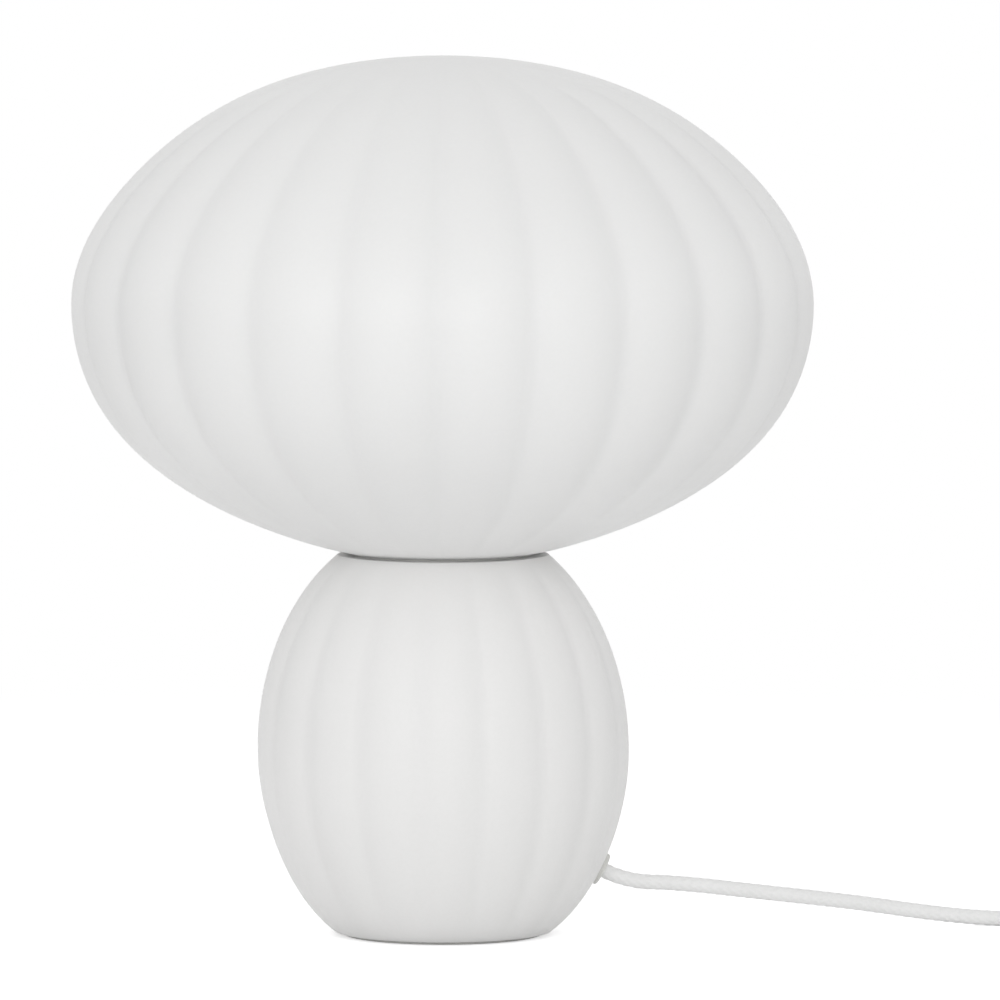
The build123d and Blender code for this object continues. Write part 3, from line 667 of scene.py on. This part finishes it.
@dataclass(frozen=True)
class Bowl:
    """Half of a blown outline, from its widest point to a pole: an ellipse made fuller or slimmer.

    Attributes:
        radius: At the widest point.
        rise: Height of the pole over the widest point, negative for a lower half.
        square_term: Fullness that grows with the square of the height.
        fourth_term: Fullness that grows with its fourth power.
    """

    radius: float
    rise: float
    square_term: float
    fourth_term: float

    def at(self, share: float) -> tuple[float, float]:
        """Radius, and height over the widest point, at a share of the rise."""
        fullness = 1 + self.square_term * share**2 + self.fourth_term * share**4
        return self.radius * math.sqrt(max(0.0, 1 - share**2)) * fullness, self.rise * share

    def inside(self, wall: float) -> "Bowl":
        """The outline of the hollow behind a wall."""
        return Bowl(
            self.radius - wall, self.rise - math.copysign(wall, self.rise), self.square_term, self.fourth_term
        )

    def points(self, first: float, last: float, count: int, middle: float) -> list[tuple[float, float]]:
        """Points between two shares of the rise, evenly spaced in latitude.

        Args:
            first: The first share.
            last: The last one.
            count: How many points.
            middle: Height of the widest point.

        Returns:
            Radius and height of each point.
        """
        latitudes = steps_between(math.asin(first), math.asin(last), count)
        found = [self.at(math.sin(latitude)) for latitude in latitudes]
        return [(radius, middle + height) for radius, height in found]


@dataclass(frozen=True)
class Ribs:
    """Ribs that were blown into the glass by a ribbed mould: round lobes that meet in soft valleys.

    Attributes:
        count: Lobes round the glass.
        depth: From the crest of a lobe to the bottom of a valley.
        first_valley: Direction of a valley in degrees from +X.
        fade: How suddenly the ribs run out towards the ends of the glass.
        valley: Share of half a lobe over which the valley is rounded.
        middle: Height of the widest point.
        top: Height where the ribs have run out.
        bottom: The same, underneath.
    """

    count: int
    depth: float
    first_valley: float
    fade: float
    valley: float
    middle: float
    top: float
    bottom: float

    def sink(self, angle: float) -> float:
        """How deep the surface lies in a direction, from 0 on a crest to 1 in a valley."""
        share = ((math.degrees(angle) - self.first_valley) * self.count / 360) % 1
        out = abs(2 * share - 1)
        flank = 1 - self.valley
        if out <= flank:
            return out**2 / flank
        past = out - flank
        return (flank**2 + 2 * flank * past - flank * past**2 / self.valley) / flank

    def run_out(self, height: float) -> float:
        """What is left of the depth at a height."""
        end = self.top if height > self.middle else self.bottom
        share = min(1.0, abs((height - self.middle) / (end - self.middle)))
        return 1 - share**self.fade

    def carve(self, bm: bmesh.types.BMesh) -> None:
        """Moves the outer wall in towards the axis by the depth of the ribs.

        Args:
            bm: The spun glass, with the layer that says which vertices the ribs reach.
        """
        ribbed = bm.verts.layers.float["ribbed"]
        for vertex in bm.verts:
            radius = math.hypot(vertex.co.x, vertex.co.y)
            share = vertex[ribbed] * self.run_out(vertex.co.z)
            if radius < 1 * MM or share <= 0:
                continue
            sunk = self.depth * share * self.sink(math.atan2(vertex.co.y, vertex.co.x))
            vertex.co.xy *= (radius - sunk) / radius
        bm.normal_update()


@dataclass
class Shade:
    """The glass shade: a wide ribbed oval with a small mouth and a polished rim."""

    radius: float = 115.0 * MM
    crown_rise: float = 76.0 * MM
    bowl_drop: float = 80.5 * MM
    belly_height: float = 196.074 * MM
    rim_height: float = 118.5 * MM
    mouth_radius: float = 25.5 * MM
    rim_rounding: float = 0.3 * MM
    wall: float = 4.0 * MM
    rib_depth: float = 2.1 * MM
    faces_to_a_rib: int = 20

    def build(self) -> None:
        """Builds the shade and dresses it."""
        crown = Bowl(self.radius, self.crown_rise, square_term=-0.141, fourth_term=0.171)
        bowl = Bowl(self.radius, -self.bowl_drop, square_term=0.064, fourth_term=-0.149)
        rim_share = (self.belly_height - self.rim_height) / self.bowl_drop
        lower = bowl.points(rim_share, 0.0, 30, self.belly_height)
        upper = crown.points(0.0, 1.0, 36, self.belly_height)[1:]
        hollow = [
            *crown.inside(self.wall).points(1.0, 0.0, 18, self.belly_height),
            *bowl.inside(self.wall).points(0.02, 0.94, 16, self.belly_height),
        ]
        inside = [at for at in hollow if at[0] > 1.02 * self.mouth_radius or at[1] > self.belly_height]
        outline = rounded([
            Corner(self.mouth_radius, self.rim_height, rounding=self.rim_rounding),
            Corner(*lower[0], rounding=self.rim_rounding),
            *plain([*lower[1:], *upper], ribbed=1.0),
            *plain(inside),
            Corner(self.mouth_radius, inside[-1][1] - 0.8 * MM, rounding=self.rim_rounding),
        ])
        ribs = Ribs(
            count=24, depth=self.rib_depth, first_valley=-91.1, fade=8, valley=0.16, middle=self.belly_height,
            top=upper[-1][1], bottom=self.rim_height,
        )
        bm = spin_outline(outline, ribs.count * self.faces_to_a_rib)
        ribs.carve(bm)
        piece = to_piece(bm, "shade_glass")
        dress(piece, "opal_glass_shade", Body.SHADE, "shade")


@dataclass
class Base:
    """The glass base: a ribbed egg with a short neck, open underneath for the plate and ground for the bush."""

    radius: float = 57.8 * MM
    shoulder_rise: float = 72.8 * MM
    foot_drop: float = 66.0 * MM
    belly_height: float = 57.1 * MM
    top: float = 118.0 * MM
    bottom: float = 1.0 * MM
    wall: float = 3.75 * MM
    neck_radius: float = 23.5 * MM
    neck_bore: float = 20.5 * MM
    neck_top: float = 130.0 * MM
    plate_opening: float = 30.1 * MM
    plate_recess: float = 3.0 * MM
    ledge_radius: float = 27.2 * MM
    ledge_top: float = 5.0 * MM
    rib_depth: float = 1.05 * MM
    bush_middle: Point = (0.04774, 0.0025, 0.02048)
    bush_direction: Point = (0.88788, 0.04653, -0.45771)
    bush_spot_radius: float = 5.5 * MM
    bush_hole_radius: float = 3.8 * MM
    cutter_reach: float = 6.0 * MM
    cutter_depth: float = 10.0 * MM
    faces_to_a_rib: int = 24

    def build(self) -> None:
        """Builds the base, cuts the bush's seat and hole, and dresses it."""
        shoulder = Bowl(self.radius, self.shoulder_rise, square_term=0.031, fourth_term=0.015)
        foot = Bowl(self.radius, -self.foot_drop, square_term=0.0, fourth_term=0.196)
        foot_share = (self.belly_height - self.bottom) / self.foot_drop
        top_share = (self.top - self.belly_height) / self.shoulder_rise
        shoulder_points = shoulder.points(top_share, 0.0, 26, self.belly_height)
        foot_points = foot.points(0.0, foot_share, 26, self.belly_height)[1:]
        hollow_foot = foot.inside(self.wall)
        hollow_shoulder = shoulder.inside(self.wall)
        ledge_share = (self.belly_height - self.ledge_top) / -hollow_foot.rise
        ceiling_share = (self.top - self.wall - self.belly_height) / hollow_shoulder.rise
        inside = [
            *hollow_foot.points(-ledge_share, 0.0, 12, self.belly_height),
            *hollow_shoulder.points(0.0, ceiling_share, 12, self.belly_height)[1:],
        ]
        outline = rounded([
            Corner(self.neck_bore, self.neck_top, rounding=0.5 * MM),
            Corner(self.neck_radius, self.neck_top, rounding=0.5 * MM),
            Corner(self.neck_radius, self.top, rounding=0.4 * MM),
            Corner(*shoulder_points[0], rounding=0.3 * MM),
            *plain([*shoulder_points[1:], *foot_points[:-1]], ribbed=1.0),
            Corner(*foot_points[-1], rounding=0.8 * MM),
            Corner(self.plate_opening, self.bottom),
            Corner(self.plate_opening, self.plate_recess),
            Corner(self.ledge_radius, self.plate_recess, rounding=0.4 * MM),
            Corner(self.ledge_radius, self.ledge_top, rounding=0.4 * MM),
            *plain(inside),
            Corner(self.neck_bore, inside[-1][1]),
        ])
        ribs = Ribs(
            count=18, depth=self.rib_depth, first_valley=-97.5, fade=5, valley=0.22, middle=self.belly_height,
            top=self.top, bottom=self.bottom,
        )
        bm = spin_outline(outline, ribs.count * self.faces_to_a_rib)
        ribs.carve(bm)
        piece = to_piece(bm, "base_glass")
        middle = Vector(self.bush_middle)
        direction = Vector(self.bush_direction).normalized()
        through = self.cutter_depth + self.cutter_reach
        start = middle - direction * self.cutter_depth
        spot = rod(middle, direction, self.bush_spot_radius, self.cutter_reach, "spot_cutter")
        hole = rod(start, direction, self.bush_hole_radius, through, "hole_cutter")
        cut(piece, [spot, hole])
        piece.data.shade_smooth()
        piece.data.set_sharp_from_angle(angle=SHARP_EDGE)
        dress(piece, "opal_glass_base", Body.LAMP, "base_body")


# ---------------------------------------------------------------- cords


def nurbs_curve(name: str, route: Sequence[Vector], resolution: int) -> bpy.types.Curve:
    """Makes a curve of the third order whose control points are a route and which ends on its ends.

    Args:
        name: The curve's name.
        route: The control points.
        resolution: Steps between two control points.

    Returns:
        The curve.
    """
    curve = bpy.data.curves.new(name, "CURVE")
    curve.dimensions = "3D"
    curve.resolution_u = resolution
    spline = curve.splines.new("NURBS")
    spline.points.add(len(route) - 1)
    for point, place in zip(spline.points, route):
        point.co = (*place, 1.0)
    spline.order_u = 3
    spline.use_endpoint_u = True
    return curve


def smooth_line(route: Sequence[Vector], spacing: float) -> np.ndarray:
    """Evenly spaced points of a NURBS spline whose control points are a route.

    Args:
        route: The control points.
        spacing: The distance between the points, roughly.

    Returns:
        An array of points, one to a row.
    """
    curve = nurbs_curve("route", route, 32)
    holder = bpy.data.objects.new("route", curve)
    mesh = bpy.data.meshes.new_from_object(holder)
    line = np.empty(len(mesh.vertices) * 3)
    mesh.vertices.foreach_get("co", line)
    line = line.reshape(-1, 3)
    bpy.data.meshes.remove(mesh)
    bpy.data.objects.remove(holder)
    bpy.data.curves.remove(curve)
    reach = np.concatenate([[0.0], np.cumsum(np.linalg.norm(np.diff(line, axis=0), axis=1))])
    wanted = np.linspace(0.0, reach[-1], max(2, round(reach[-1] / spacing) + 1))
    return np.stack([np.interp(wanted, reach, line[:, axis]) for axis in range(3)], axis=1)


def line_frames(line: np.ndarray) -> tuple[np.ndarray, np.ndarray]:
    """Two directions across a line at each of its points, carried along it without twisting.

    Args:
        line: The line's points.

    Returns:
        The first and the second direction at each point.
    """
    along = np.gradient(line, axis=0)
    along /= np.linalg.norm(along, axis=1)[:, None]
    across = np.empty_like(line)
    start = np.cross(along[0], (0.0, 0.0, 1.0))
    across[0] = start / np.linalg.norm(start)
    for place in range(1, len(line)):
        carried = across[place - 1] - along[place] * np.dot(across[place - 1], along[place])
        across[place] = carried / np.linalg.norm(carried)
    return across, np.cross(along, across)


@dataclass
class BraidedCord:
    """A cord in a braided sleeve, as a mesh tube whose strands cross over and under each other.

    Attributes:
        name: The piece's name.
        route: The control points of its line.
        diameter: Over the crests of the strands.
        strands: How many strands turn each way.
        crossing: Length of one crossing along the cord.
        samples: Vertices to a crossing, each way.
        relief: From the crest of a strand to the gap beside it.
    """

    name: str
    route: list[Vector]
    diameter: float = 4.8 * MM
    strands: int = 8
    crossing: float = 1.6 * MM
    samples: int = 4
    relief: float = 0.3 * MM

    def build(self) -> tuple[bpy.types.Object, np.ndarray]:
        """Builds the tube.

        Returns:
            The piece, and the points that it follows.
        """
        line = smooth_line(self.route, self.crossing / self.samples)
        across, over = line_frames(line)
        rings = len(line)
        sides = self.strands * self.samples
        bm = bmesh.new()
        bm.loops.layers.uv.new("UVMap")
        bmesh.ops.create_grid(bm, x_segments=rings - 1, y_segments=sides, size=1.0, calc_uvs=True)
        mesh = bpy.data.meshes.new(self.name)
        bm.to_mesh(mesh)
        flat = np.empty(len(mesh.vertices) * 3)
        mesh.vertices.foreach_get("co", flat)
        flat = flat.reshape(-1, 3)
        ring = np.rint((flat[:, 0] + 1) / 2 * (rings - 1)).astype(int)
        side = np.rint((flat[:, 1] + 1) / 2 * sides)
        angle = math.tau * side / sides
        radius = self.diameter / 2 - self.relief * (1 - self.crest(side / self.samples, ring / self.samples))
        out = across[ring] * np.cos(angle)[:, None] + over[ring] * np.sin(angle)[:, None]
        placed = line[ring] + out * radius[:, None]
        mesh.vertices.foreach_set("co", placed.ravel())
        self.scale_uv(mesh, rings / self.samples)
        bm.clear()
        bm.from_mesh(mesh)
        bpy.data.meshes.remove(mesh)
        bmesh.ops.remove_doubles(bm, verts=bm.verts, dist=0.005 * MM)
        bmesh.ops.holes_fill(bm, edges=[edge for edge in bm.edges if edge.is_boundary], sides=0)
        piece = to_piece(bm, self.name)
        return piece, line

    def crest(self, around: np.ndarray, along: np.ndarray) -> np.ndarray:
        """Height of the sleeve from 0 in a gap to 1 on a strand, by crossings round and along the cord."""
        one = around + along / 2 + 0.125
        other = around - along / 2 + 0.125
        profile_one = np.abs(np.sin(np.pi * one)) ** 0.7
        profile_other = np.abs(np.sin(np.pi * other)) ** 0.7
        first_on_top = (np.floor(one) + np.floor(other)) % 2 == 0
        top = np.where(first_on_top, profile_one, profile_other)
        under = np.where(first_on_top, profile_other, profile_one)
        return top * (0.55 + 0.45 * under)

    def scale_uv(self, mesh: bpy.types.Mesh, crossings: float) -> None:
        """Stretches the map so that one unit is one crossing, both ways.

        Args:
            mesh: The tube's flat grid.
            crossings: The crossings along the cord.
        """
        layer = mesh.uv_layers["UVMap"].uv
        values = np.empty(len(layer) * 2)
        layer.foreach_get("vector", values)
        values = values.reshape(-1, 2) * (crossings, self.strands)
        layer.foreach_set("vector", values.ravel())


def coil_points(centre: Vector, outer_radius: float, step: float, rise: float, half_turns_in: int) -> list[Vector]:
    """Control points of a coil in two layers: half turns inwards, a climb and half turns outwards.

    Args:
        centre: The coil's middle, at the height of the lower layer.
        outer_radius: Of the first half turn, to the middle of the cord.
        step: How much smaller each half turn is than the one before.
        rise: From the lower layer to the upper one.
        half_turns_in: Half turns in each layer.

    Returns:
        The points, twelve to a half turn.
    """
    points = []
    here = centre - Vector((outer_radius, 0, 0))
    side = -1
    for half_turn in range(2 * half_turns_in + 1):
        steps_in = min(half_turn, 2 * half_turns_in - half_turn)
        radius = outer_radius - steps_in * step
        middle = here - Vector((side * radius, 0, 0))
        climb = rise if half_turn == half_turns_in else 0.0
        for share in steps_between(0, 1, 13)[:-1]:
            turn = math.pi * share
            lift = climb * (1 - math.cos(turn)) / 2
            points.append(middle + Vector((side * radius * math.cos(turn), -side * radius * math.sin(turn), lift)))
        here = middle + Vector((-side * radius, 0, climb))
        side = -side
    return [*points, here]


def in_metres(route: Iterable[Sequence[float]]) -> list[Vector]:
    """A route that is written in millimetres, in metres."""
    return [Vector(point) * MM for point in route]


@dataclass
class Cords:
    """The free cord in its two stretches, and the leads inside the lamp."""

    diameter: float = 4.8 * MM
    wire_diameter: float = 2.0 * MM
    bush_face: Point = (49.69, 2.60, 19.47)
    switch_end: Point = (260.0, 30.0, 8.0)
    coil_centre: Point = (296.0, 72.0, 2.4)
    coil_radius: float = 36.0
    coil_step: float = 2.7
    layer_rise: float = 5.3
    half_turns_in: int = 6

    def build(self) -> None:
        self.build_lamp_stretch()
        self.build_plug_stretch()
        self.build_leads()

    def build_lamp_stretch(self) -> None:
        """Builds the stretch from the bush to the switch, the one in view."""
        route = in_metres([
            self.bush_face, (56.8, 2.98, 15.81), (73, 4.5, 15.3), (100, 9, 11.7), (127, 15, 8.2), (150, 20, 4.3),
            (167, 21.5, 2.4), (182, 17, 2.4), (192.5, 4.5, 2.4), (196, -12, 2.4), (194.5, -34, 2.4),
            (197.5, -56, 2.4), (210.5, -76, 2.4), (232, -83, 2.4), (251, -74.5, 4), (259.5, -56, 6.8),
            (260.5, -43, 8), (260, -32, 8),
        ])
        piece, line = BraidedCord("cord_lamp_to_switch", route, self.diameter, samples=5).build()
        dress(piece, "textile_cord", Body.LAMP, "cord_to_switch")

    def build_plug_stretch(self) -> None:
        """Builds the stretch from the switch through the coil to the plug."""
        coil = coil_points(
            Vector(self.coil_centre) * MM, self.coil_radius * MM, self.coil_step * MM, self.layer_rise * MM,
            self.half_turns_in,
        )
        route = [
            *in_metres([self.switch_end, (260, 40, 8), (261.2, 50, 4.8), (260, 58.2, 2.4), (260, 67.2, 2.4)]),
            *coil,
            *in_metres([
                (332, 67.2, 7.7), (332, 55, 7.7), (329.5, 40, 6.45), (323.5, 25, 6.25), (320, 10, 6.85),
                (320, -3, 6.85),
            ]),
        ]
        piece, line = BraidedCord("cord_switch_to_plug", route, self.diameter, samples=3).build()
        dress(piece, "textile_cord", Body.LAMP, "cord_to_coil", "cord_coil", "cord_to_plug")

    def build_leads(self) -> None:
        """Builds the cord inside the lamp and its two wires."""
        route = in_metres([
            self.bush_face, (37, 1.93, 26.0), (24.3, 1.27, 32.56), (18.5, 0.97, 38.4), (13.98, 0.73, 42.9),
        ])
        piece, _ = BraidedCord("cord_inside_base", route, self.diameter, samples=4).build()
        dress(piece, "textile_cord", Body.LAMP, "inner_cord")
        for side, name in ((1, "live"), (-1, "neutral")):
            self.build_wire(side, name)

    def build_wire(self, side: int, name: str) -> None:
        """Builds one insulated wire, from the cord's end up the draw tube to its terminal.

        Args:
            side: 1 or -1, the side of the tube it goes up.
            name: The wire's name.
        """
        over, out = -0.06 * side, 1.2 * side
        far_over, far_out = -0.29 * side, 5.49 * side
        route = in_metres([
            (13.98 + over, 0.73 + out, 42.9), (7.0 + over, 0.37 + out, 49.9), (over, out, 56.9), (over, out, 70.0),
            (over, out, 115.0), (over, out, 126.1), (far_over, far_out, 132.1), (far_over, far_out, 136.1),
        ])
        curve = nurbs_curve(f"wire_{name}", route, 16)
        curve.bevel_depth = self.wire_diameter / 2
        curve.bevel_resolution = 6
        curve.use_fill_caps = True
        piece = bpy.data.objects.new(f"wire_{name}", curve)
        bpy.context.scene.collection.objects.link(piece)
        slot = "brown_insulation" if side == 1 else "blue_insulation"
        dress(piece, slot, Body.LAMP, f"{name}_wire")


# ---------------------------------------------------------------- small turned pieces


def on_axis(piece: bmesh.types.BMesh, foot: Vector, direction: Vector) -> bmesh.types.BMesh:
    """Moves a piece that was spun round the lamp's axis onto another axis.

    Args:
        piece: The piece, whose foot is at height 0.
        foot: Where its foot goes.
        direction: Where its axis points.

    Returns:
        The same piece.
    """
    turn = direction.to_track_quat("Z", "Y").to_matrix().to_4x4()
    piece.transform(Matrix.Translation(foot) @ turn)
    return piece


@dataclass
class BulbCap:
    """The bulb's plated cap, with the rolled thread that the CAD cylinder stands for."""

    radius: float = 6.98 * MM
    bore: float = 5.8 * MM
    bottom: float = 156.2 * MM
    top: float = 176.2 * MM
    pitch: float = 2.82 * MM
    depth: float = 0.6 * MM
    run_out: float = 1.6 * MM
    rows: int = 72

    def build(self) -> None:
        """Builds the cap and dresses it."""
        heights = steps_between(self.bottom, self.top, self.rows)
        outline = [
            *plain([(self.radius, height) for height in heights], ribbed=1.0),
            Corner(self.bore, self.top),
            Corner(self.bore, self.bottom),
        ]
        bm = spin_outline(outline, 72)
        threaded = bm.verts.layers.float["ribbed"]
        for vertex in bm.verts:
            if vertex[threaded]:
                self.roll(vertex)
        bm.normal_update()
        piece = to_piece(bm, "bulb_thread")
        dress(piece, "nickel_cap", Body.BULB, "bulb_cap")

    def roll(self, vertex: bmesh.types.BMVert) -> None:
        """Moves one vertex in to the depth of the thread at its place."""
        turn = math.atan2(vertex.co.y, vertex.co.x)
        share = min(1.0, (vertex.co.z - self.bottom) / self.run_out, (self.top - vertex.co.z) / self.run_out)
        sunk = self.depth * share * (0.5 - 0.5 * math.cos(math.tau * vertex.co.z / self.pitch - turn))
        vertex.co.xy *= (self.radius - sunk) / self.radius


@dataclass
class FeltPad:
    """The felt under the foot, with its cut edge a little rounded."""

    radius: float = 30.96 * MM
    thickness: float = 1.0 * MM
    rounding: float = 0.35 * MM

    def build(self) -> None:
        """Builds the pad and dresses it."""
        outline = rounded([
            Corner(0.0, 0.0),
            Corner(self.radius, 0.0, rounding=self.rounding),
            Corner(self.radius, self.thickness, rounding=self.rounding / 2),
            Corner(0.0, self.thickness),
        ])
        bm = spin_outline(outline, 128)
        dress(to_piece(bm, "felt_foot"), "felt", Body.LAMP, "felt_pad")


@dataclass
class PlugBoot:
    """The plug's bend relief: a taper with round ribs and slots between them."""

    foot: Point = (320.0, -3.0, 6.85)
    length: float = 12.0 * MM
    bore: float = 2.45 * MM
    thin: float = 3.75 * MM
    thick: float = 5.0 * MM
    ribs: int = 4
    groove: float = 0.8 * MM

    def build(self) -> None:
        """Builds the boot and dresses it."""
        ribbed_length = 0.8 * self.length
        pitch = ribbed_length / self.ribs
        outside = []
        for rib in range(self.ribs):
            for share, sunk in ((0.0, 0.0), (0.6, 0.0), (0.6, self.groove), (1.0, self.groove)):
                height = pitch * (rib + share)
                wide = self.thin + (self.thick - self.thin) * height / self.length
                outside.append(Corner(wide - sunk, height, rounding=0.25 * MM if not sunk else 0.0))
        outline = rounded([
            Corner(self.bore, 0.0),
            *outside,
            Corner(self.thick, ribbed_length, rounding=0.25 * MM),
            Corner(self.thick, self.length),
            Corner(self.bore, self.length),
        ])
        bm = on_axis(spin_outline(outline, 64), Vector(self.foot) * MM, Vector((0.0, -1.0, 0.0)))
        dress(to_piece(bm, "plug_bend_relief"), "plug_plastic", Body.LAMP, "plug_boot")


# ---------------------------------------------------------------- pieces that the CAD model already has


@dataclass
class Fittings:
    """The CAD nodes whose shape stays, and which get a finish."""

    def build(self) -> None:
        """Gives every node the finish of its slot in the record."""
        slots = {part["node"]: part["material_slot"] for part in frame["record"]["subparts"]}
        for name, node in frame["nodes"].items():
            node.data.materials.clear()
            node.data.materials.append(FINISHES[slots[name]].material())
            log.info("%s: %s", name, slots[name])


# ---------------------------------------------------------------- studio


@dataclass(frozen=True)
class Softbox:
    """A large soft lamp that is aimed at the middle of the object."""

    name: str
    place: Point
    size: float
    watts: float
    aim: Point = (0.0, 0.0, 0.15)

    def build(self) -> None:
        """Hangs the lamp, out of the camera's sight."""
        light = bpy.data.lights.new(self.name, "AREA")
        light.shape = "DISK"
        light.size = self.size
        light.energy = self.watts
        holder = bpy.data.objects.new(self.name, light)
        bpy.context.scene.collection.objects.link(holder)
        holder.location = self.place
        aim = Vector(self.aim) - Vector(self.place)
        holder.rotation_euler = aim.to_track_quat("-Z", "Y").to_euler()
        holder.visible_camera = False


@dataclass
class Studio:
    """White floor and background, soft lamps and the photograph's camera."""

    camera_place: Point = (0.0, -3.5, 0.4096)
    camera_pitch: float = -4.49
    sensor: float = 36.0
    lens: float = 408.8
    shift: float = 0.057
    floor_size: float = 14.0
    world_light: float = 0.75
    floor_colour: float = 0.90
    floor_lift: float = 0.52
    floor_near: float = 0.35
    floor_far: float = 0.80

    def build(self) -> None:
        """Sets up everything round the object."""
        self.build_camera()
        self.build_world()
        self.build_floor()
        Softbox("key", (-0.35, -2.8, 0.2), 2.4, 32.0).build()
        Softbox("fill", (1.5, -2.3, 0.2), 1.2, 1.5).build()
        bpy.context.scene.view_settings.view_transform = "Standard"

    def build_camera(self) -> None:
        """Stands the camera where the photograph was taken from."""
        camera = bpy.data.cameras.new("camera")
        camera.sensor_width = self.sensor
        camera.lens = self.lens
        camera.shift_x = self.shift
        camera.clip_end = 60.0
        holder = bpy.data.objects.new("camera", camera)
        bpy.context.scene.collection.objects.link(holder)
        holder.location = self.camera_place
        holder.rotation_euler = (math.radians(90 + self.camera_pitch), 0.0, 0.0)
        bpy.context.scene.camera = holder

    def seen_share(self, graph: Graph) -> bpy.types.NodeSocket:
        """Adds nodes that give 1 where the camera, a reflection or a refraction sees a surface."""
        path = graph.add("LightPath")
        seen = graph.maths("MAXIMUM", path.outputs["Is Camera Ray"], path.outputs["Is Glossy Ray"])
        return graph.maths("MAXIMUM", seen, path.outputs["Is Transmission Ray"])

    def build_world(self) -> None:
        """Makes a world that looks white and gives an even, weaker light."""
        world = bpy.data.worlds.new("studio")
        bpy.context.scene.world = world
        graph = empty_graph(world)
        background = graph.add("Background")
        output = graph.add("OutputWorld")
        graph.join(background.outputs["Background"], output.inputs["Surface"])
        strength = graph.add("MapRange")
        graph.join(self.seen_share(graph), strength.inputs["Value"])
        strength.inputs["To Min"].default_value = self.world_light
        strength.inputs["To Max"].default_value = 1.0
        graph.join(strength.outputs["Result"], background.inputs["Strength"])
        background.inputs["Color"].default_value = (1.0, 1.0, 1.0, 1.0)

    def build_floor(self) -> None:
        """Lays a white floor that keeps the object's shadow, and that is plain white to the camera further out."""
        bm = bmesh.new()
        bmesh.ops.create_grid(bm, x_segments=1, y_segments=1, size=self.floor_size / 2)
        floor = to_piece(bm, "floor")
        material = bpy.data.materials.new("floor")
        graph = empty_graph(material)
        seen = self.seen_share(graph)
        matt = graph.add("BsdfDiffuse")
        matt.inputs["Color"].default_value = (*[self.floor_colour] * 3, 1.0)
        lift = graph.add("Emission")
        graph.join(graph.maths("MULTIPLY", seen, self.floor_lift), lift.inputs["Strength"])
        near = graph.add("AddShader")
        graph.join(matt.outputs["BSDF"], near.inputs[0])
        graph.join(lift.outputs["Emission"], near.inputs[1])
        distance = graph.add("VectorMath", operation="LENGTH")
        graph.join(graph.add("TexCoord").outputs["Object"], distance.inputs[0])
        outside = graph.add("MapRange", interpolation_type="SMOOTHSTEP")
        graph.join(distance.outputs["Value"], outside.inputs["Value"])
        outside.inputs["From Min"].default_value = self.floor_near
        outside.inputs["From Max"].default_value = self.floor_far
        white = graph.add("Emission")
        both = graph.add("MixShader")
        graph.join(graph.maths("MULTIPLY", outside.outputs["Result"], seen), both.inputs["Fac"])
        graph.join(near.outputs["Shader"], both.inputs[1])
        graph.join(white.outputs["Emission"], both.inputs[2])
        output = graph.add("OutputMaterial")
        graph.join(both.outputs["Shader"], output.inputs["Surface"])
        floor.data.materials.append(material)


def main() -> None:
    """Builds every part of the object and the studio round it."""
    logging.basicConfig(level=logging.INFO, format="%(name)s: %(message)s")
    for part in (Fittings(), Shade(), Base(), Cords(), BulbCap(), FeltPad(), PlugBoot(), Studio()):
        part.build()
        log.info("built %s", type(part).__name__)


if __name__ == "__main__":
    main()
